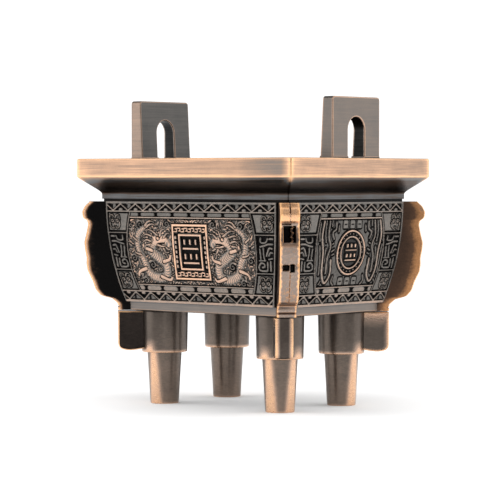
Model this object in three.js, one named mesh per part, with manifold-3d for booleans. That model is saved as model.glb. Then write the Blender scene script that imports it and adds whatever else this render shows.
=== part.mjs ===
// Small cast-metal copy of a rectangular ding: a hollow four-sided vessel on four legs,
// with two upright loop handles, four corner flanges and relief panels on its walls.
// Millimetres, +Z up, origin on the ground under the middle of the vessel.
// X runs along the long walls, Y along the short ones. The feet stand at Z = 0.

import * as THREE from 'three';
import { mergeVertices } from 'three/addons/utils/BufferGeometryUtils.js';
import Module from 'manifold-3d';

const wasm = await Module();
wasm.setup();

// Rim
const RIM_LENGTH = 130;
const RIM_WIDTH = 101.5;
const RIM_DEPTH = 8.7;
const RIM_EDGE = 0.5;
const RIM_CORNER_RADIUS = 0.7;
const CHAMFER_INSET = 6.2;
const CHAMFER_DROP = 5.2;
const FILLET_DROP = 2.6;

// Neck under the rim, and the groove under the neck
const NECK_INSET = 8.3;
const NECK_HEIGHT = 2.2;
const GROOVE_HEIGHT = 1.2;
const GROOVE_DEPTH = 0.6;

// Curved walls
const WALL_HEIGHT = 46.6;
const WALL_RADIUS = 168;
const WALL_STEPS = 3;
const WALL_SETBACK_ENDS = 5.8;
const WALL_SETBACK_SIDES = 5.7;
const WALL_THICKNESS = 3.9;
const RELIEF_HEIGHT = 0.9;

// Base band and floor
const BASE_HEIGHT = 4.2;
const BASE_STEP = 2.4;
const FLOOR_THICKNESS = 4.4;
const MOUTH_MARGIN = 12;
const BOWL_CORNER = 6;

// Legs
const LEG_HEIGHT = 43.9;
const LEG_INSET_ENDS = 15;
const LEG_INSET_SIDES = 13.66;
const LEG_TOP_RADIUS = 11.05;
const LEG_STEP_RADIUS = 10.65;
const LEG_STEP_HEIGHT = 24.2;
const SHANK_RADIUS = 8.1;
const FOOT_RADIUS = 6.65;
const LEG_EDGE = 0.5;
const LEG_SIDES = 20;
const FIN_THICKNESS = 8;
const FIN_REACH = 21.8;
const FIN_GAP = 0.5;

// Corner flanges, in the diagonal planes
const FLANGE_THICKNESS = 8.6;
const FLANGE_ROOT = 8;
const FLANGE_PIT_FLOOR = 0.4;
const FLANGE_PIT_WIDTH = 5.4;

// Loop handles on the short ends of the rim
const HANDLE_WIDTH = 34.2;
const HANDLE_HEIGHT = 27.6;
const HANDLE_THICKNESS = 7.3;
const HANDLE_TOP_THICKNESS = 5.8;
const HANDLE_SETBACK = 3.6;
const HANDLE_CORNER = 1.5;
const HANDLE_BEVEL = 0.4;
const SLOT_WIDTH = 12.2;
const SLOT_HEIGHT = 18.6;
const COLLAR_HEIGHT = 0.9;
const COLLAR_PROUD = 0.3;

// Heights worked out from the sizes above
const BASE_TOP = LEG_HEIGHT + BASE_HEIGHT;
const WALL_TOP = BASE_TOP + WALL_HEIGHT;
const NECK_BOTTOM = WALL_TOP + GROOVE_HEIGHT;
const NECK_TOP = NECK_BOTTOM + NECK_HEIGHT;
const RIM_BOTTOM = NECK_TOP + FILLET_DROP + CHAMFER_DROP;
const RIM_TOP = RIM_BOTTOM + RIM_DEPTH;
const HALF_LENGTH = RIM_LENGTH / 2;
const HALF_WIDTH = RIM_WIDTH / 2;
const WALL_HALF_X = HALF_LENGTH - WALL_SETBACK_ENDS;
const WALL_HALF_Y = HALF_WIDTH - WALL_SETBACK_SIDES;
const FLANGE_SPREAD = FLANGE_THICKNESS / Math.SQRT2;

// Solids and geometries

function toSolid(geometry) {
  const bare = geometry.clone();
  bare.deleteAttribute('normal');
  bare.deleteAttribute('uv');
  const merged = mergeVertices(bare, 1e-4);
  return new wasm.Manifold(new wasm.Mesh({
    numProp: 3,
    vertProperties: new Float32Array(merged.attributes.position.array),
    triVerts: new Uint32Array(merged.index.array),
  }));
}

function toGeometry(solid) {
  const mesh = solid.getMesh();
  const indexed = new THREE.BufferGeometry();
  indexed.setAttribute('position', new THREE.BufferAttribute(new Float32Array(mesh.vertProperties), 3));
  indexed.setIndex(new THREE.BufferAttribute(new Uint32Array(mesh.triVerts), 1));
  const geometry = indexed.toNonIndexed();
  geometry.computeVertexNormals();
  return geometry;
}

function outline(points) {
  return new THREE.Shape(points.map(([u, v]) => new THREE.Vector2(u, v)));
}

function prism(shape, from, to) {
  const geometry = new THREE.ExtrudeGeometry(shape, { depth: to - from, bevelEnabled: false });
  geometry.translate(0, 0, from);
  return geometry;
}

function box(minX, maxX, minY, maxY, minZ, maxZ) {
  const geometry = new THREE.BoxGeometry(maxX - minX, maxY - minY, maxZ - minZ);
  geometry.translate((minX + maxX) / 2, (minY + maxY) / 2, (minZ + maxZ) / 2);
  return toSolid(geometry);
}

function joined(solids) {
  return solids.reduce((all, one) => all.add(one));
}

// A face lies in (u, z) and is extruded outwards; turn 0 is the front wall, 1 the right end.
function onFace(geometry, turn) {
  geometry.rotateX(Math.PI / 2);
  geometry.rotateZ(turn * Math.PI / 2);
  return geometry;
}

// Curved wall

function wallInset(z) {
  const drop = WALL_TOP - z;
  return WALL_RADIUS - Math.sqrt(WALL_RADIUS ** 2 - drop ** 2);
}

function wallLevels() {
  const levels = [];
  for (let step = 0; step <= WALL_STEPS; step += 1) {
    levels.push(BASE_TOP + (WALL_HEIGHT * step) / WALL_STEPS);
  }
  return levels;
}

// Half length of the plain band under a wall.
function baseHalf(wallHalf) {
  return wallHalf - wallInset(BASE_TOP) - BASE_STEP;
}

// Half profile [reach, z] from the underside to the top of the rim.
function bodyProfile(rimHalf, wallHalf) {
  const neck = rimHalf - NECK_INSET;
  const base = baseHalf(wallHalf);
  const wall = wallLevels().map((z) => [wallHalf - RELIEF_HEIGHT - wallInset(z), z]);
  return [
    [base, LEG_HEIGHT],
    [base, BASE_TOP],
    ...wall,
    [neck - GROOVE_DEPTH, WALL_TOP],
    [neck - GROOVE_DEPTH, NECK_BOTTOM],
    [neck, NECK_BOTTOM],
    [neck, NECK_TOP],
    [neck + 0.35, NECK_TOP + FILLET_DROP * 0.35],
    [rimHalf - CHAMFER_INSET, NECK_TOP + FILLET_DROP],
    [rimHalf - RIM_EDGE, RIM_BOTTOM - RIM_EDGE * 0.6],
    [rimHalf, RIM_BOTTOM + RIM_EDGE * 0.6],
    [rimHalf, RIM_TOP - RIM_EDGE],
    [rimHalf - RIM_EDGE, RIM_TOP],
  ];
}

function reliefProfile(wallHalf) {
  return wallLevels().map((z) => [wallHalf - wallInset(z), z]);
}

function mirroredProfile(profile) {
  const left = profile.map(([reach, z]) => [-reach, z]).reverse();
  return outline([...profile, ...left]);
}

// Rectangular solid whose X and Y outlines are the two profiles.
function crossed(profileX, profileY) {
  const along = onFace(prism(mirroredProfile(profileX), -RIM_LENGTH, RIM_LENGTH), 0);
  const across = onFace(prism(mirroredProfile(profileY), -RIM_LENGTH, RIM_LENGTH), 1);
  return toSolid(along).intersect(toSolid(across));
}

function roundedRectangle(halfX, halfY, radius, steps) {
  const points = [];
  const centres = [[1, 1, 0], [-1, 1, 1], [-1, -1, 2], [1, -1, 3]];
  for (const [signX, signY, quarter] of centres) {
    for (let step = 0; step <= steps; step += 1) {
      const angle = ((quarter + step / steps) * Math.PI) / 2;
      points.push([
        signX * (halfX - radius) + radius * Math.cos(angle),
        signY * (halfY - radius) + radius * Math.sin(angle),
      ]);
    }
  }
  return outline(points);
}

// Bowl: straight below the mouth, then following the curve of the walls.
function bowl() {
  const floor = LEG_HEIGHT + FLOOR_THICKNESS;
  const mouthX = HALF_LENGTH - MOUTH_MARGIN;
  const mouthY = HALF_WIDTH - MOUTH_MARGIN;
  const levels = [floor, ...wallLevels().slice(1), RIM_TOP + 2];
  const inner = (mouth, wallHalf) => levels.map((z) => {
    const followed = wallHalf - WALL_THICKNESS - wallInset(Math.min(z, WALL_TOP));
    return [Math.min(mouth, followed), z];
  });
  const block = crossed(inner(mouthX, WALL_HALF_X), inner(mouthY, WALL_HALF_Y));
  const plan = roundedRectangle(mouthX, mouthY, BOWL_CORNER, 4);
  return block.intersect(toSolid(prism(plan, floor - 1, RIM_TOP + 3)));
}

// Flange outline [reach beyond the wall's top corner, drop below the wall's top].
const FLANGE_TOP_LOBE = [[1.8, 0], [4.3, 2.3], [5.5, 4.8], [5, 7.9], [3.2, 8.8], [2.7, 10.8]];
const FLANGE_MIDDLE_LOBE = [[3.5, 15], [4.5, 19.1], [4.2, 22.4], [3.4, 26.6]];
const FLANGE_LOW_LOBE = [[3.5, 29.2], [3, 32.5], [0.6, 37.4], [-0.6, 41.1], [-3.2, 44.1]];
const FLANGE_TAIL = [[-8.1, 45.2], [-11, 47.6], [-11.3, 50.8]];

// Pits in the outer edge of a flange [top drop, bottom drop].
const FLANGE_PITS = [[10, 17.4], [27.1, 29.9]];

function flange(signX, signY) {
  const edge = [...FLANGE_TOP_LOBE, ...FLANGE_MIDDLE_LOBE, ...FLANGE_LOW_LOBE, ...FLANGE_TAIL];
  const outer = edge.map(([reach, drop]) => [reach, WALL_TOP - drop]);
  const inner = wallLevels().map((z) => [-FLANGE_ROOT - wallInset(z) * Math.SQRT2, z]);
  const root = [[inner[0][0] - BASE_STEP, LEG_HEIGHT], ...inner];
  const plate = prism(outline([...outer, ...root]), -FLANGE_THICKNESS / 2, FLANGE_THICKNESS / 2);
  let solid = toSolid(plate);
  for (const [top, bottom] of FLANGE_PITS) {
    const pit = new THREE.BoxGeometry(FLANGE_ROOT, bottom - top, FLANGE_PIT_WIDTH);
    pit.translate(FLANGE_PIT_FLOOR + FLANGE_ROOT / 2, WALL_TOP - (top + bottom) / 2, 0);
    solid = solid.subtract(toSolid(pit));
  }
  const geometry = toGeometry(solid);
  geometry.rotateX(Math.PI / 2);
  geometry.rotateZ(Math.atan2(signY, signX));
  geometry.translate(signX * WALL_HALF_X, signY * WALL_HALF_Y, 0);
  return toSolid(geometry);
}

// Relief drawing: every item is a flat outline in (u, z) on one wall.

// Line of one width through the points, as a closed outline.
function stroke(points, width, endWidth = width) {
  const left = [];
  const right = [];
  const last = points.length - 1;
  points.forEach(([u, z], index) => {
    const [u0, z0] = points[Math.max(index - 1, 0)];
    const [u1, z1] = points[Math.min(index + 1, last)];
    const length = Math.hypot(u1 - u0, z1 - z0);
    const half = (width + ((endWidth - width) * index) / last) / 2;
    const sideU = (-(z1 - z0) / length) * half;
    const sideZ = ((u1 - u0) / length) * half;
    left.push([u + sideU, z + sideZ]);
    right.push([u - sideU, z - sideZ]);
  });
  return [...left, ...right.reverse()];
}

function bar(u0, u1, z0, z1) {
  return [[u0, z0], [u1, z0], [u1, z1], [u0, z1]];
}

function ring(u, z, radius, sides) {
  const points = [];
  for (let side = 0; side < sides; side += 1) {
    const angle = (2 * Math.PI * side) / sides;
    points.push([u + radius * Math.cos(angle), z + radius * Math.sin(angle)]);
  }
  return points;
}

function arc(u, z, radius, from, to, steps) {
  const points = [];
  for (let step = 0; step <= steps; step += 1) {
    const angle = from + ((to - from) * step) / steps;
    points.push([u + radius * Math.cos(angle), z + radius * Math.sin(angle)]);
  }
  return points;
}

function mirrored(points) {
  return points.map(([u, z]) => [-u, z]);
}

function smooth(points, count) {
  const curve = new THREE.SplineCurve(points.map(([u, z]) => new THREE.Vector2(u, z)));
  return curve.getPoints(count).map((point) => [point.x, point.y]);
}

// Bands of a panel, counted inwards from its top and bottom edges
const FRAME_LINE = 1;
const UPPER_ZIGZAG = 3.1;
const LOWER_ZIGZAG = 3.6;
const ZIGZAG_PITCH = 9.4;
const DIVIDER = 0.7;
const UPPER_DASH_BAND = 2.1;
const LOWER_DASH_BAND = 2.4;
const DASH_LENGTH = 8.4;
const DASH_PITCH = 10.2;
const DASH_MARGIN = 0.5;
const COLUMN_WIDTH_LONG = 11.3;
const COLUMN_WIDTH_SHORT = 12.4;
const COLUMN_FLARE = 4.2;
const COLUMN_WAIST = 18;
const CELL_HEIGHT = 8.6;
const CELL_MARGIN = 0.6;
const STROKE = 0.8;

// Bare groove between a flange and the end of the panel beside it
const PANEL_GAP_LONG = 1.4;
const PANEL_GAP_SHORT = 0.5;

const PANEL_BOTTOM = BASE_TOP + 0.2;
const PANEL_TOP = WALL_TOP;
const LOWER_LINE = PANEL_BOTTOM + FRAME_LINE + LOWER_ZIGZAG;
const UPPER_LINE = PANEL_TOP - FRAME_LINE - UPPER_ZIGZAG;
const FIELD_BOTTOM = LOWER_LINE + DIVIDER + LOWER_DASH_BAND;
const FIELD_TOP = UPPER_LINE - DIVIDER - UPPER_DASH_BAND;
const FIELD_MIDDLE = (FIELD_BOTTOM + FIELD_TOP) / 2;

// The two kinds of wall: half length of the wall, groove at its ends, width of its columns
const LONG_WALL = { half: WALL_HALF_X, gap: PANEL_GAP_LONG, column: COLUMN_WIDTH_LONG };
const SHORT_WALL = { half: WALL_HALF_Y, gap: PANEL_GAP_SHORT, column: COLUMN_WIDTH_SHORT };

function panelHalf(wall, z) {
  return wall.half - FLANGE_SPREAD - wall.gap - wallInset(z);
}

// A column is narrowest at its waist and flares above and below it.
function columnWidth(wall, z) {
  const share = (z - PANEL_BOTTOM - COLUMN_WAIST) / (WALL_HEIGHT / 2);
  return wall.column + COLUMN_FLARE * share ** 2;
}

// Outline between two heights, from one gap inside the panel's edge to another.
function sideStrip(wall, outerGap, innerGap, z0, z1) {
  const levels = [z0, ...wallLevels().filter((z) => z > z0 + 1 && z < z1 - 1), z1];
  const outer = levels.map((z) => [panelHalf(wall, z) - outerGap(z), z]);
  const inner = levels.map((z) => [panelHalf(wall, z) - innerGap(z), z]).reverse();
  return [...outer, ...inner];
}

// Frame lines round the panel and the two lines that part the zigzag bands from the field.
function frameItems(wall) {
  const side = sideStrip(wall, () => 0, () => FRAME_LINE, PANEL_BOTTOM, PANEL_TOP);
  const items = [side, mirrored(side)];
  const lines = [
    [PANEL_TOP - FRAME_LINE, PANEL_TOP],
    [UPPER_LINE - DIVIDER, UPPER_LINE],
    [LOWER_LINE, LOWER_LINE + DIVIDER],
    [PANEL_BOTTOM, PANEL_BOTTOM + FRAME_LINE],
  ];
  for (const [z0, z1] of lines) {
    const half = panelHalf(wall, z0) - FRAME_LINE / 2;
    items.push(bar(-half, half, z0, z1));
  }
  return items;
}

function zigzagItems(wall, low, high, upward) {
  const half = panelHalf(wall, low) - FRAME_LINE;
  const count = Math.floor(half / ZIGZAG_PITCH + 0.5);
  const points = [];
  for (let index = -count; index < count; index += 1) {
    const start = index * ZIGZAG_PITCH;
    const foot = upward ? low : high;
    const peak = upward ? high : low;
    points.push([start, foot], [start + ZIGZAG_PITCH / 2, peak]);
  }
  points.push([count * ZIGZAG_PITCH, upward ? low : high]);
  return [stroke(points, STROKE * 1.5)];
}

function dashItems(half, low, high) {
  const items = [];
  const count = Math.floor((2 * half) / DASH_PITCH);
  for (let index = 0; index < count; index += 1) {
    const middle = (index - (count - 1) / 2) * DASH_PITCH;
    const reach = DASH_LENGTH / 2;
    items.push(bar(middle - reach, middle + reach, low + DASH_MARGIN, high - DASH_MARGIN));
  }
  return items;
}

// Side column: a mask plate above and below, a hooked strap between them.
function columnItems(wall, plain) {
  const items = [];
  const low = LOWER_LINE + DIVIDER;
  const high = UPPER_LINE - DIVIDER;
  const full = (z) => columnWidth(wall, z);
  items.push(sideStrip(wall, (z) => full(z) - DIVIDER, full, low - DIVIDER / 2, high + DIVIDER / 2));
  const plates = [
    [low + CELL_MARGIN, low + CELL_HEIGHT],
    [high - CELL_HEIGHT, high - CELL_MARGIN],
  ];
  for (const [z0, z1] of plates) {
    items.push(sideStrip(wall, () => FRAME_LINE + 0.7, (z) => full(z) - DIVIDER - CELL_MARGIN, z0, z1));
  }
  const lines = [low + CELL_HEIGHT + CELL_MARGIN, high - CELL_HEIGHT - CELL_MARGIN - DIVIDER];
  for (const z of lines) {
    items.push(sideStrip(wall, () => FRAME_LINE / 2, (at) => full(at) - DIVIDER / 2, z, z + DIVIDER));
  }
  if (!plain) {
    items.push(...hookItems(panelHalf(wall, FIELD_MIDDLE) - wall.column / 2));
  }
  return [...items, ...items.map(mirrored)];
}

// Hooked strap in the middle cell of a column.
function hookItems(middle) {
  const upper = stroke([
    [middle + 4, FIELD_MIDDLE + 6.6],
    [middle - 3.6, FIELD_MIDDLE + 6.6],
    [middle - 3.6, FIELD_MIDDLE + 3.4],
    [middle + 0.4, FIELD_MIDDLE + 3.4],
  ], STROKE * 1.4);
  const lower = stroke([
    [middle + 3.6, FIELD_MIDDLE + 4],
    [middle + 3.2, FIELD_MIDDLE - 6.4],
    [middle - 3.4, FIELD_MIDDLE - 6.4],
    [middle - 3.4, FIELD_MIDDLE - 1],
    [middle - 0.4, FIELD_MIDDLE - 1],
    [middle - 0.4, FIELD_MIDDLE - 3.8],
  ], STROKE * 1.4);
  return [upper, lower];
}

// Eyes cut into the mask plates.
function maskCuts(wall) {
  const cuts = [];
  const low = LOWER_LINE + DIVIDER;
  const high = UPPER_LINE - DIVIDER;
  for (const z of [low + CELL_HEIGHT / 2, high - CELL_HEIGHT / 2]) {
    const middle = panelHalf(wall, z) - columnWidth(wall, z) / 2;
    cuts.push(bar(middle - 3.2, middle - 1.2, z + 0.4, z + 1.8));
    cuts.push(bar(middle + 1.2, middle + 3.2, z + 0.4, z + 1.8));
  }
  return [...cuts, ...cuts.map(mirrored)];
}

// Long panel
const CARTOUCHE_WIDTH = 21.6;
const CARTOUCHE_HEIGHT = 25.6;
const WINDOW_WIDTH = 14;
const WINDOW_HEIGHT = 16.6;

// Rows of plain strokes, a lying one under three upright ones.
function rowItems(reach, pitch) {
  const items = [];
  for (const row of [-0.5, 0.5]) {
    const z = FIELD_MIDDLE + row * pitch * 1.5;
    items.push(bar(-reach, reach, z - pitch * 0.5, z - pitch * 0.25));
    for (let index = -1; index <= 1; index += 1) {
      const u = index * reach * 0.7;
      items.push(bar(u - 0.6, u + 0.6, z, z + pitch * 0.6));
    }
  }
  return items;
}

function hollowBar(halfU, halfZ, line) {
  const z = FIELD_MIDDLE;
  return [
    bar(-halfU, halfU, z + halfZ - line, z + halfZ),
    bar(-halfU, halfU, z - halfZ, z - halfZ + line),
    bar(-halfU, -halfU + line, z - halfZ, z + halfZ),
    bar(halfU - line, halfU, z - halfZ, z + halfZ),
  ];
}

function cartoucheItems(plain) {
  const items = [
    ...hollowBar(CARTOUCHE_WIDTH / 2, CARTOUCHE_HEIGHT / 2, STROKE * 1.2),
    ...hollowBar(WINDOW_WIDTH / 2, WINDOW_HEIGHT / 2, STROKE),
  ];
  if (plain) {
    return items;
  }
  const bandZ = (CARTOUCHE_HEIGHT + WINDOW_HEIGHT) / 4;
  for (const side of [-1, 1]) {
    for (let index = -1; index <= 1; index += 1) {
      const u = index * 5.8;
      const z = FIELD_MIDDLE + side * bandZ;
      items.push(bar(u - 2, u + 2, z - 0.6, z + 0.6));
    }
    for (let index = -1; index <= 1; index += 1) {
      const u = (side * (CARTOUCHE_WIDTH + WINDOW_WIDTH)) / 4;
      const z = FIELD_MIDDLE + index * 5;
      items.push(bar(u - 0.6, u + 0.6, z - 1.6, z + 1.6));
    }
  }
  items.push(...rowItems(4.8, 4.4));
  return items;
}

// Dragon in the left half of the field: [u, height above the field's middle].
const DRAGON_BODY = [
  [-14.6, 3.6], [-18.4, 5.6], [-22.6, 4.4], [-24.6, 0.6], [-20.6, -2.6], [-16.2, -5.8],
  [-16.4, -10.6], [-21.6, -12.2], [-27, -10], [-29.4, -4.4], [-32.6, 1.4], [-32, 8], [-26.6, 11.4],
];
const DRAGON_HEAD = [
  [-12.6, 4.6], [-15, 7], [-20, 8.2], [-24, 6.6], [-23, 2.4], [-18.4, 1.8], [-15.2, 2.4],
];
const DRAGON_LIMBS = [
  [[-24, 0.4], [-28.4, 1.8], [-29.2, 4.6]],
  [[-16.6, -7], [-12.6, -5.4], [-12.4, -2.6]],
  [[-28.6, -8], [-33, -9.6], [-33.6, -12.4]],
  [[-20, 7.4], [-24.2, 9.8], [-28, 9.4]],
];
const CLOUDS = [[-34.2, -5], [-14.2, 11]];

function dragonItems() {
  const lift = ([u, z]) => [u, z + FIELD_MIDDLE];
  const items = [
    stroke(smooth(DRAGON_BODY.map(lift), 15), 3.4, 1.4),
    DRAGON_HEAD.map(lift),
    ...DRAGON_LIMBS.map((limb) => stroke(limb.map(lift), 1.5, 0.9)),
  ];
  for (const [u, z] of CLOUDS.map(lift)) {
    items.push(stroke(arc(u, z, 1.9, 0, Math.PI * 1.3, 4), STROKE));
  }
  return [...items, ...items.map(mirrored)];
}

// Bands, lines and columns that both kinds of panel share.
function bandItems(wall, plain) {
  const half = panelHalf(wall, FIELD_MIDDLE) - wall.column;
  const width = (z) => panelHalf(wall, z) - columnWidth(wall, z) + DIVIDER / 2;
  return [
    ...frameItems(wall),
    ...zigzagItems(wall, UPPER_LINE, PANEL_TOP - FRAME_LINE, true),
    ...zigzagItems(wall, PANEL_BOTTOM + FRAME_LINE, LOWER_LINE, false),
    ...dashItems(half, FIELD_TOP, UPPER_LINE - DIVIDER),
    ...dashItems(half, LOWER_LINE + DIVIDER, FIELD_BOTTOM),
    bar(-width(FIELD_TOP), width(FIELD_TOP), FIELD_TOP - DIVIDER, FIELD_TOP),
    bar(-width(FIELD_BOTTOM), width(FIELD_BOTTOM), FIELD_BOTTOM, FIELD_BOTTOM + DIVIDER),
    ...columnItems(wall, plain),
  ];
}

function longPanel(plain) {
  return [
    ...bandItems(LONG_WALL, plain),
    ...cartoucheItems(plain),
    ...(plain ? [] : dragonItems()),
  ];
}

// Short panel
const MEDALLION_RADIUS = 10.3;
const MEDALLION_INNER = 7.6;
const MEDALLION_SHIFT = 0.9;

function annulus(radius, line, sides) {
  const shape = outline(ring(MEDALLION_SHIFT, FIELD_MIDDLE, radius, sides));
  const inner = ring(MEDALLION_SHIFT, FIELD_MIDDLE, radius - line, sides).reverse();
  shape.holes.push(new THREE.Path(inner.map(([u, z]) => new THREE.Vector2(u, z))));
  return shape;
}

// Hooked straps on both sides of the medallion: [u from its middle, height above the field's middle].
const STRAP_OUTER = [
  [-20, 13], [-21.4, 6], [-19.8, 0], [-19, -8], [-15.6, -12.6], [-12.2, -9], [-12.8, -2],
];
const STRAP_INNER = [[-15.6, 11], [-16.8, 6], [-14, 2.4], [-16, -2], [-15.8, -8.4]];
const STRAP_HOOK = [[-11.4, 12.6], [-14, 9.8], [-12.6, 7]];

function strapItems() {
  const lift = ([u, z]) => [u, z + FIELD_MIDDLE];
  const items = [
    stroke(smooth(STRAP_OUTER.map(lift), 10), 1.7),
    stroke(smooth(STRAP_INNER.map(lift), 6), 1.4),
    stroke(STRAP_HOOK.map(lift), 1.3),
  ];
  return [...items, ...items.map(mirrored)];
}

// Short upright strokes above and below the medallion.
function uprightItems() {
  const items = [];
  for (let index = -1; index <= 1; index += 1) {
    const middle = index * 5;
    items.push(bar(middle - 1.5, middle + 1.5, FIELD_TOP - 4.6, FIELD_TOP - 1.6));
    items.push(bar(middle - 1.5, middle + 1.5, FIELD_BOTTOM + 1.6, FIELD_BOTTOM + 4.4));
  }
  return items;
}

function shortPanel(plain) {
  const middle = [...uprightItems(), ...(plain ? [] : [...rowItems(4, 3), ...strapItems()])];
  const shifted = middle.map((points) => points.map(([u, z]) => [u + MEDALLION_SHIFT, z]));
  return [...bandItems(SHORT_WALL, plain), ...shifted];
}

// Relief of one wall, kept under the relief surface of that wall.
function wallRelief(items, shapes, cuts, turn, depth, shell) {
  const solids = items.map((points) => toSolid(prism(outline(points), depth, HALF_LENGTH)));
  const rings = shapes.map((shape) => toSolid(prism(shape, depth, HALF_LENGTH)));
  let raised = joined([...solids, ...rings]);
  for (const points of cuts) {
    raised = raised.subtract(toSolid(prism(outline(points), depth - 1, HALF_LENGTH + 1)));
  }
  return toSolid(onFace(toGeometry(raised), turn)).intersect(shell);
}

function vesselBody() {
  const shell = crossed(reliefProfile(WALL_HALF_X), reliefProfile(WALL_HALF_Y));
  let body = crossed(bodyProfile(HALF_LENGTH, WALL_HALF_X), bodyProfile(HALF_WIDTH, WALL_HALF_Y));
  const plan = roundedRectangle(HALF_LENGTH, HALF_WIDTH, RIM_CORNER_RADIUS, 3);
  body = body.intersect(toSolid(prism(plan, 0, RIM_TOP + 1)));
  const depthY = WALL_HALF_Y - wallInset(BASE_TOP) - WALL_THICKNESS / 2 - 1;
  const depthX = WALL_HALF_X - wallInset(BASE_TOP) - WALL_THICKNESS / 2 - 1;
  const rings = [annulus(MEDALLION_RADIUS, STROKE * 1.2, 20), annulus(MEDALLION_INNER, STROKE, 16)];
  for (const turn of [0, 2]) {
    body = body.add(wallRelief(longPanel(turn === 2), [], maskCuts(LONG_WALL), turn, depthY, shell));
  }
  for (const turn of [1, 3]) {
    body = body.add(wallRelief(shortPanel(turn === 3), rings, maskCuts(SHORT_WALL), turn, depthX, shell));
  }
  for (const [signX, signY] of [[1, 1], [-1, 1], [-1, -1], [1, -1]]) {
    body = body.add(flange(signX, signY));
  }
  return toGeometry(body.subtract(bowl()));
}

// Underside of a leg's fin, rounded at its outer corner: [reach, drop below the vessel].
const FIN_UNDERSIDE = [
  [FIN_REACH, 15.6], [21.5, 16.9], [20.6, 18], [19, 18.6], [16.6, 18.9], [13.8, 18.7], [9, 18], [0, 17],
];

// Leg: a stepped round post with a flat fin that runs out to the corner.
function leg() {
  const profile = [
    [0, 0],
    [FOOT_RADIUS - LEG_EDGE, 0],
    [FOOT_RADIUS, LEG_EDGE],
    [SHANK_RADIUS, LEG_STEP_HEIGHT],
    [LEG_STEP_RADIUS - LEG_EDGE, LEG_STEP_HEIGHT],
    [LEG_STEP_RADIUS, LEG_STEP_HEIGHT + LEG_EDGE],
    [LEG_TOP_RADIUS, LEG_HEIGHT],
    [0, LEG_HEIGHT],
  ];
  const post = new THREE.LatheGeometry(profile.map(([r, z]) => new THREE.Vector2(r, z)), LEG_SIDES);
  post.rotateX(Math.PI / 2);
  const edge = FIN_UNDERSIDE.map(([reach, drop]) => [reach, LEG_HEIGHT - drop]);
  edge.push([0, LEG_HEIGHT - FIN_GAP], [FIN_REACH, LEG_HEIGHT - FIN_GAP]);
  const fin = prism(outline(edge), -FIN_THICKNESS / 2, FIN_THICKNESS / 2);
  fin.rotateX(Math.PI / 2);
  return toGeometry(toSolid(post).add(toSolid(fin)));
}

// Handle: an upright loop, open down to the rim, its inner face leaning outwards.
function handle() {
  const half = HANDLE_WIDTH / 2;
  const slot = SLOT_WIDTH / 2;
  const spring = SLOT_HEIGHT - slot;
  const under = -2;
  const corner = HANDLE_CORNER;
  const points = [
    [-half, under],
    [-slot, under],
    ...arc(0, spring, slot, Math.PI, 0, 12),
    [slot, under],
    [half, under],
    ...arc(half - corner, HANDLE_HEIGHT - corner, corner, 0, Math.PI / 2, 3),
    ...arc(corner - half, HANDLE_HEIGHT - corner, corner, Math.PI / 2, Math.PI, 3),
  ];
  const loop = new THREE.ExtrudeGeometry(outline(points), {
    depth: HANDLE_THICKNESS - 2 * HANDLE_BEVEL,
    bevelEnabled: true,
    bevelSegments: 1,
    bevelSize: HANDLE_BEVEL,
    bevelThickness: HANDLE_BEVEL,
    bevelOffset: -HANDLE_BEVEL,
  });
  loop.translate(0, 0, HANDLE_BEVEL);
  const lean = (HANDLE_THICKNESS - HANDLE_TOP_THICKNESS) / HANDLE_HEIGHT;
  const position = loop.attributes.position;
  for (let index = 0; index < position.count; index += 1) {
    const share = 1 - position.getZ(index) / HANDLE_THICKNESS;
    const height = Math.max(position.getY(index), 0);
    position.setZ(index, position.getZ(index) + share * lean * height);
  }
  let solid = toSolid(loop);
  for (const side of [-1, 1]) {
    const inner = side * slot - side * COLLAR_PROUD;
    const outer = side * half;
    const depth = HANDLE_THICKNESS + COLLAR_PROUD;
    const collar = new THREE.BoxGeometry(Math.abs(outer - inner), COLLAR_HEIGHT + 2, depth);
    collar.translate((outer + inner) / 2, COLLAR_HEIGHT / 2 - 1, (HANDLE_THICKNESS - COLLAR_PROUD) / 2);
    solid = solid.add(toSolid(collar));
  }
  solid = solid.subtract(box(-half - 5, half + 5, -5, 0, -5, HANDLE_THICKNESS + 5));
  const geometry = toGeometry(solid);
  geometry.rotateX(Math.PI / 2);
  geometry.rotateZ(Math.PI / 2);
  return geometry;
}

// Materials
const castMetal = new THREE.MeshStandardMaterial({ color: 0x6a6058, roughness: 0.5, metalness: 0.85 });
const legMetal = new THREE.MeshStandardMaterial({ color: 0x5b4a3d, roughness: 0.45, metalness: 0.85 });
const handleMetal = new THREE.MeshStandardMaterial({ color: 0x8a7462, roughness: 0.42, metalness: 0.85 });

const vessel = new THREE.Group();

function place(name, geometry, material, x, y, z, turn) {
  const mesh = new THREE.Mesh(geometry, material);
  mesh.name = name;
  mesh.position.set(x, y, z);
  mesh.rotation.z = turn;
  vessel.add(mesh);
}

place('vessel_body', vesselBody(), castMetal, 0, 0, 0, 0);

const LEG_PLACES = [
  ['leg_front_right', 1, -1],
  ['leg_front_left', -1, -1],
  ['leg_back_right', 1, 1],
  ['leg_back_left', -1, 1],
];
const LEG_X = baseHalf(WALL_HALF_X) - LEG_INSET_ENDS;
const LEG_Y = baseHalf(WALL_HALF_Y) - LEG_INSET_SIDES;
for (const [name, signX, signY] of LEG_PLACES) {
  const turn = Math.atan2(signY, signX);
  place(name, leg(), legMetal, signX * LEG_X, signY * LEG_Y, 0, turn);
}

const HANDLE_REACH = HALF_LENGTH - HANDLE_SETBACK - HANDLE_THICKNESS;
place('handle_right', handle(), handleMetal, HANDLE_REACH, 0, RIM_TOP, 0);
place('handle_left', handle(), handleMetal, -HANDLE_REACH, 0, RIM_TOP, Math.PI);

export default vessel;
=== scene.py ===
from math import atan2, cos, degrees, hypot, pi, radians, sin, sqrt

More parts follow.
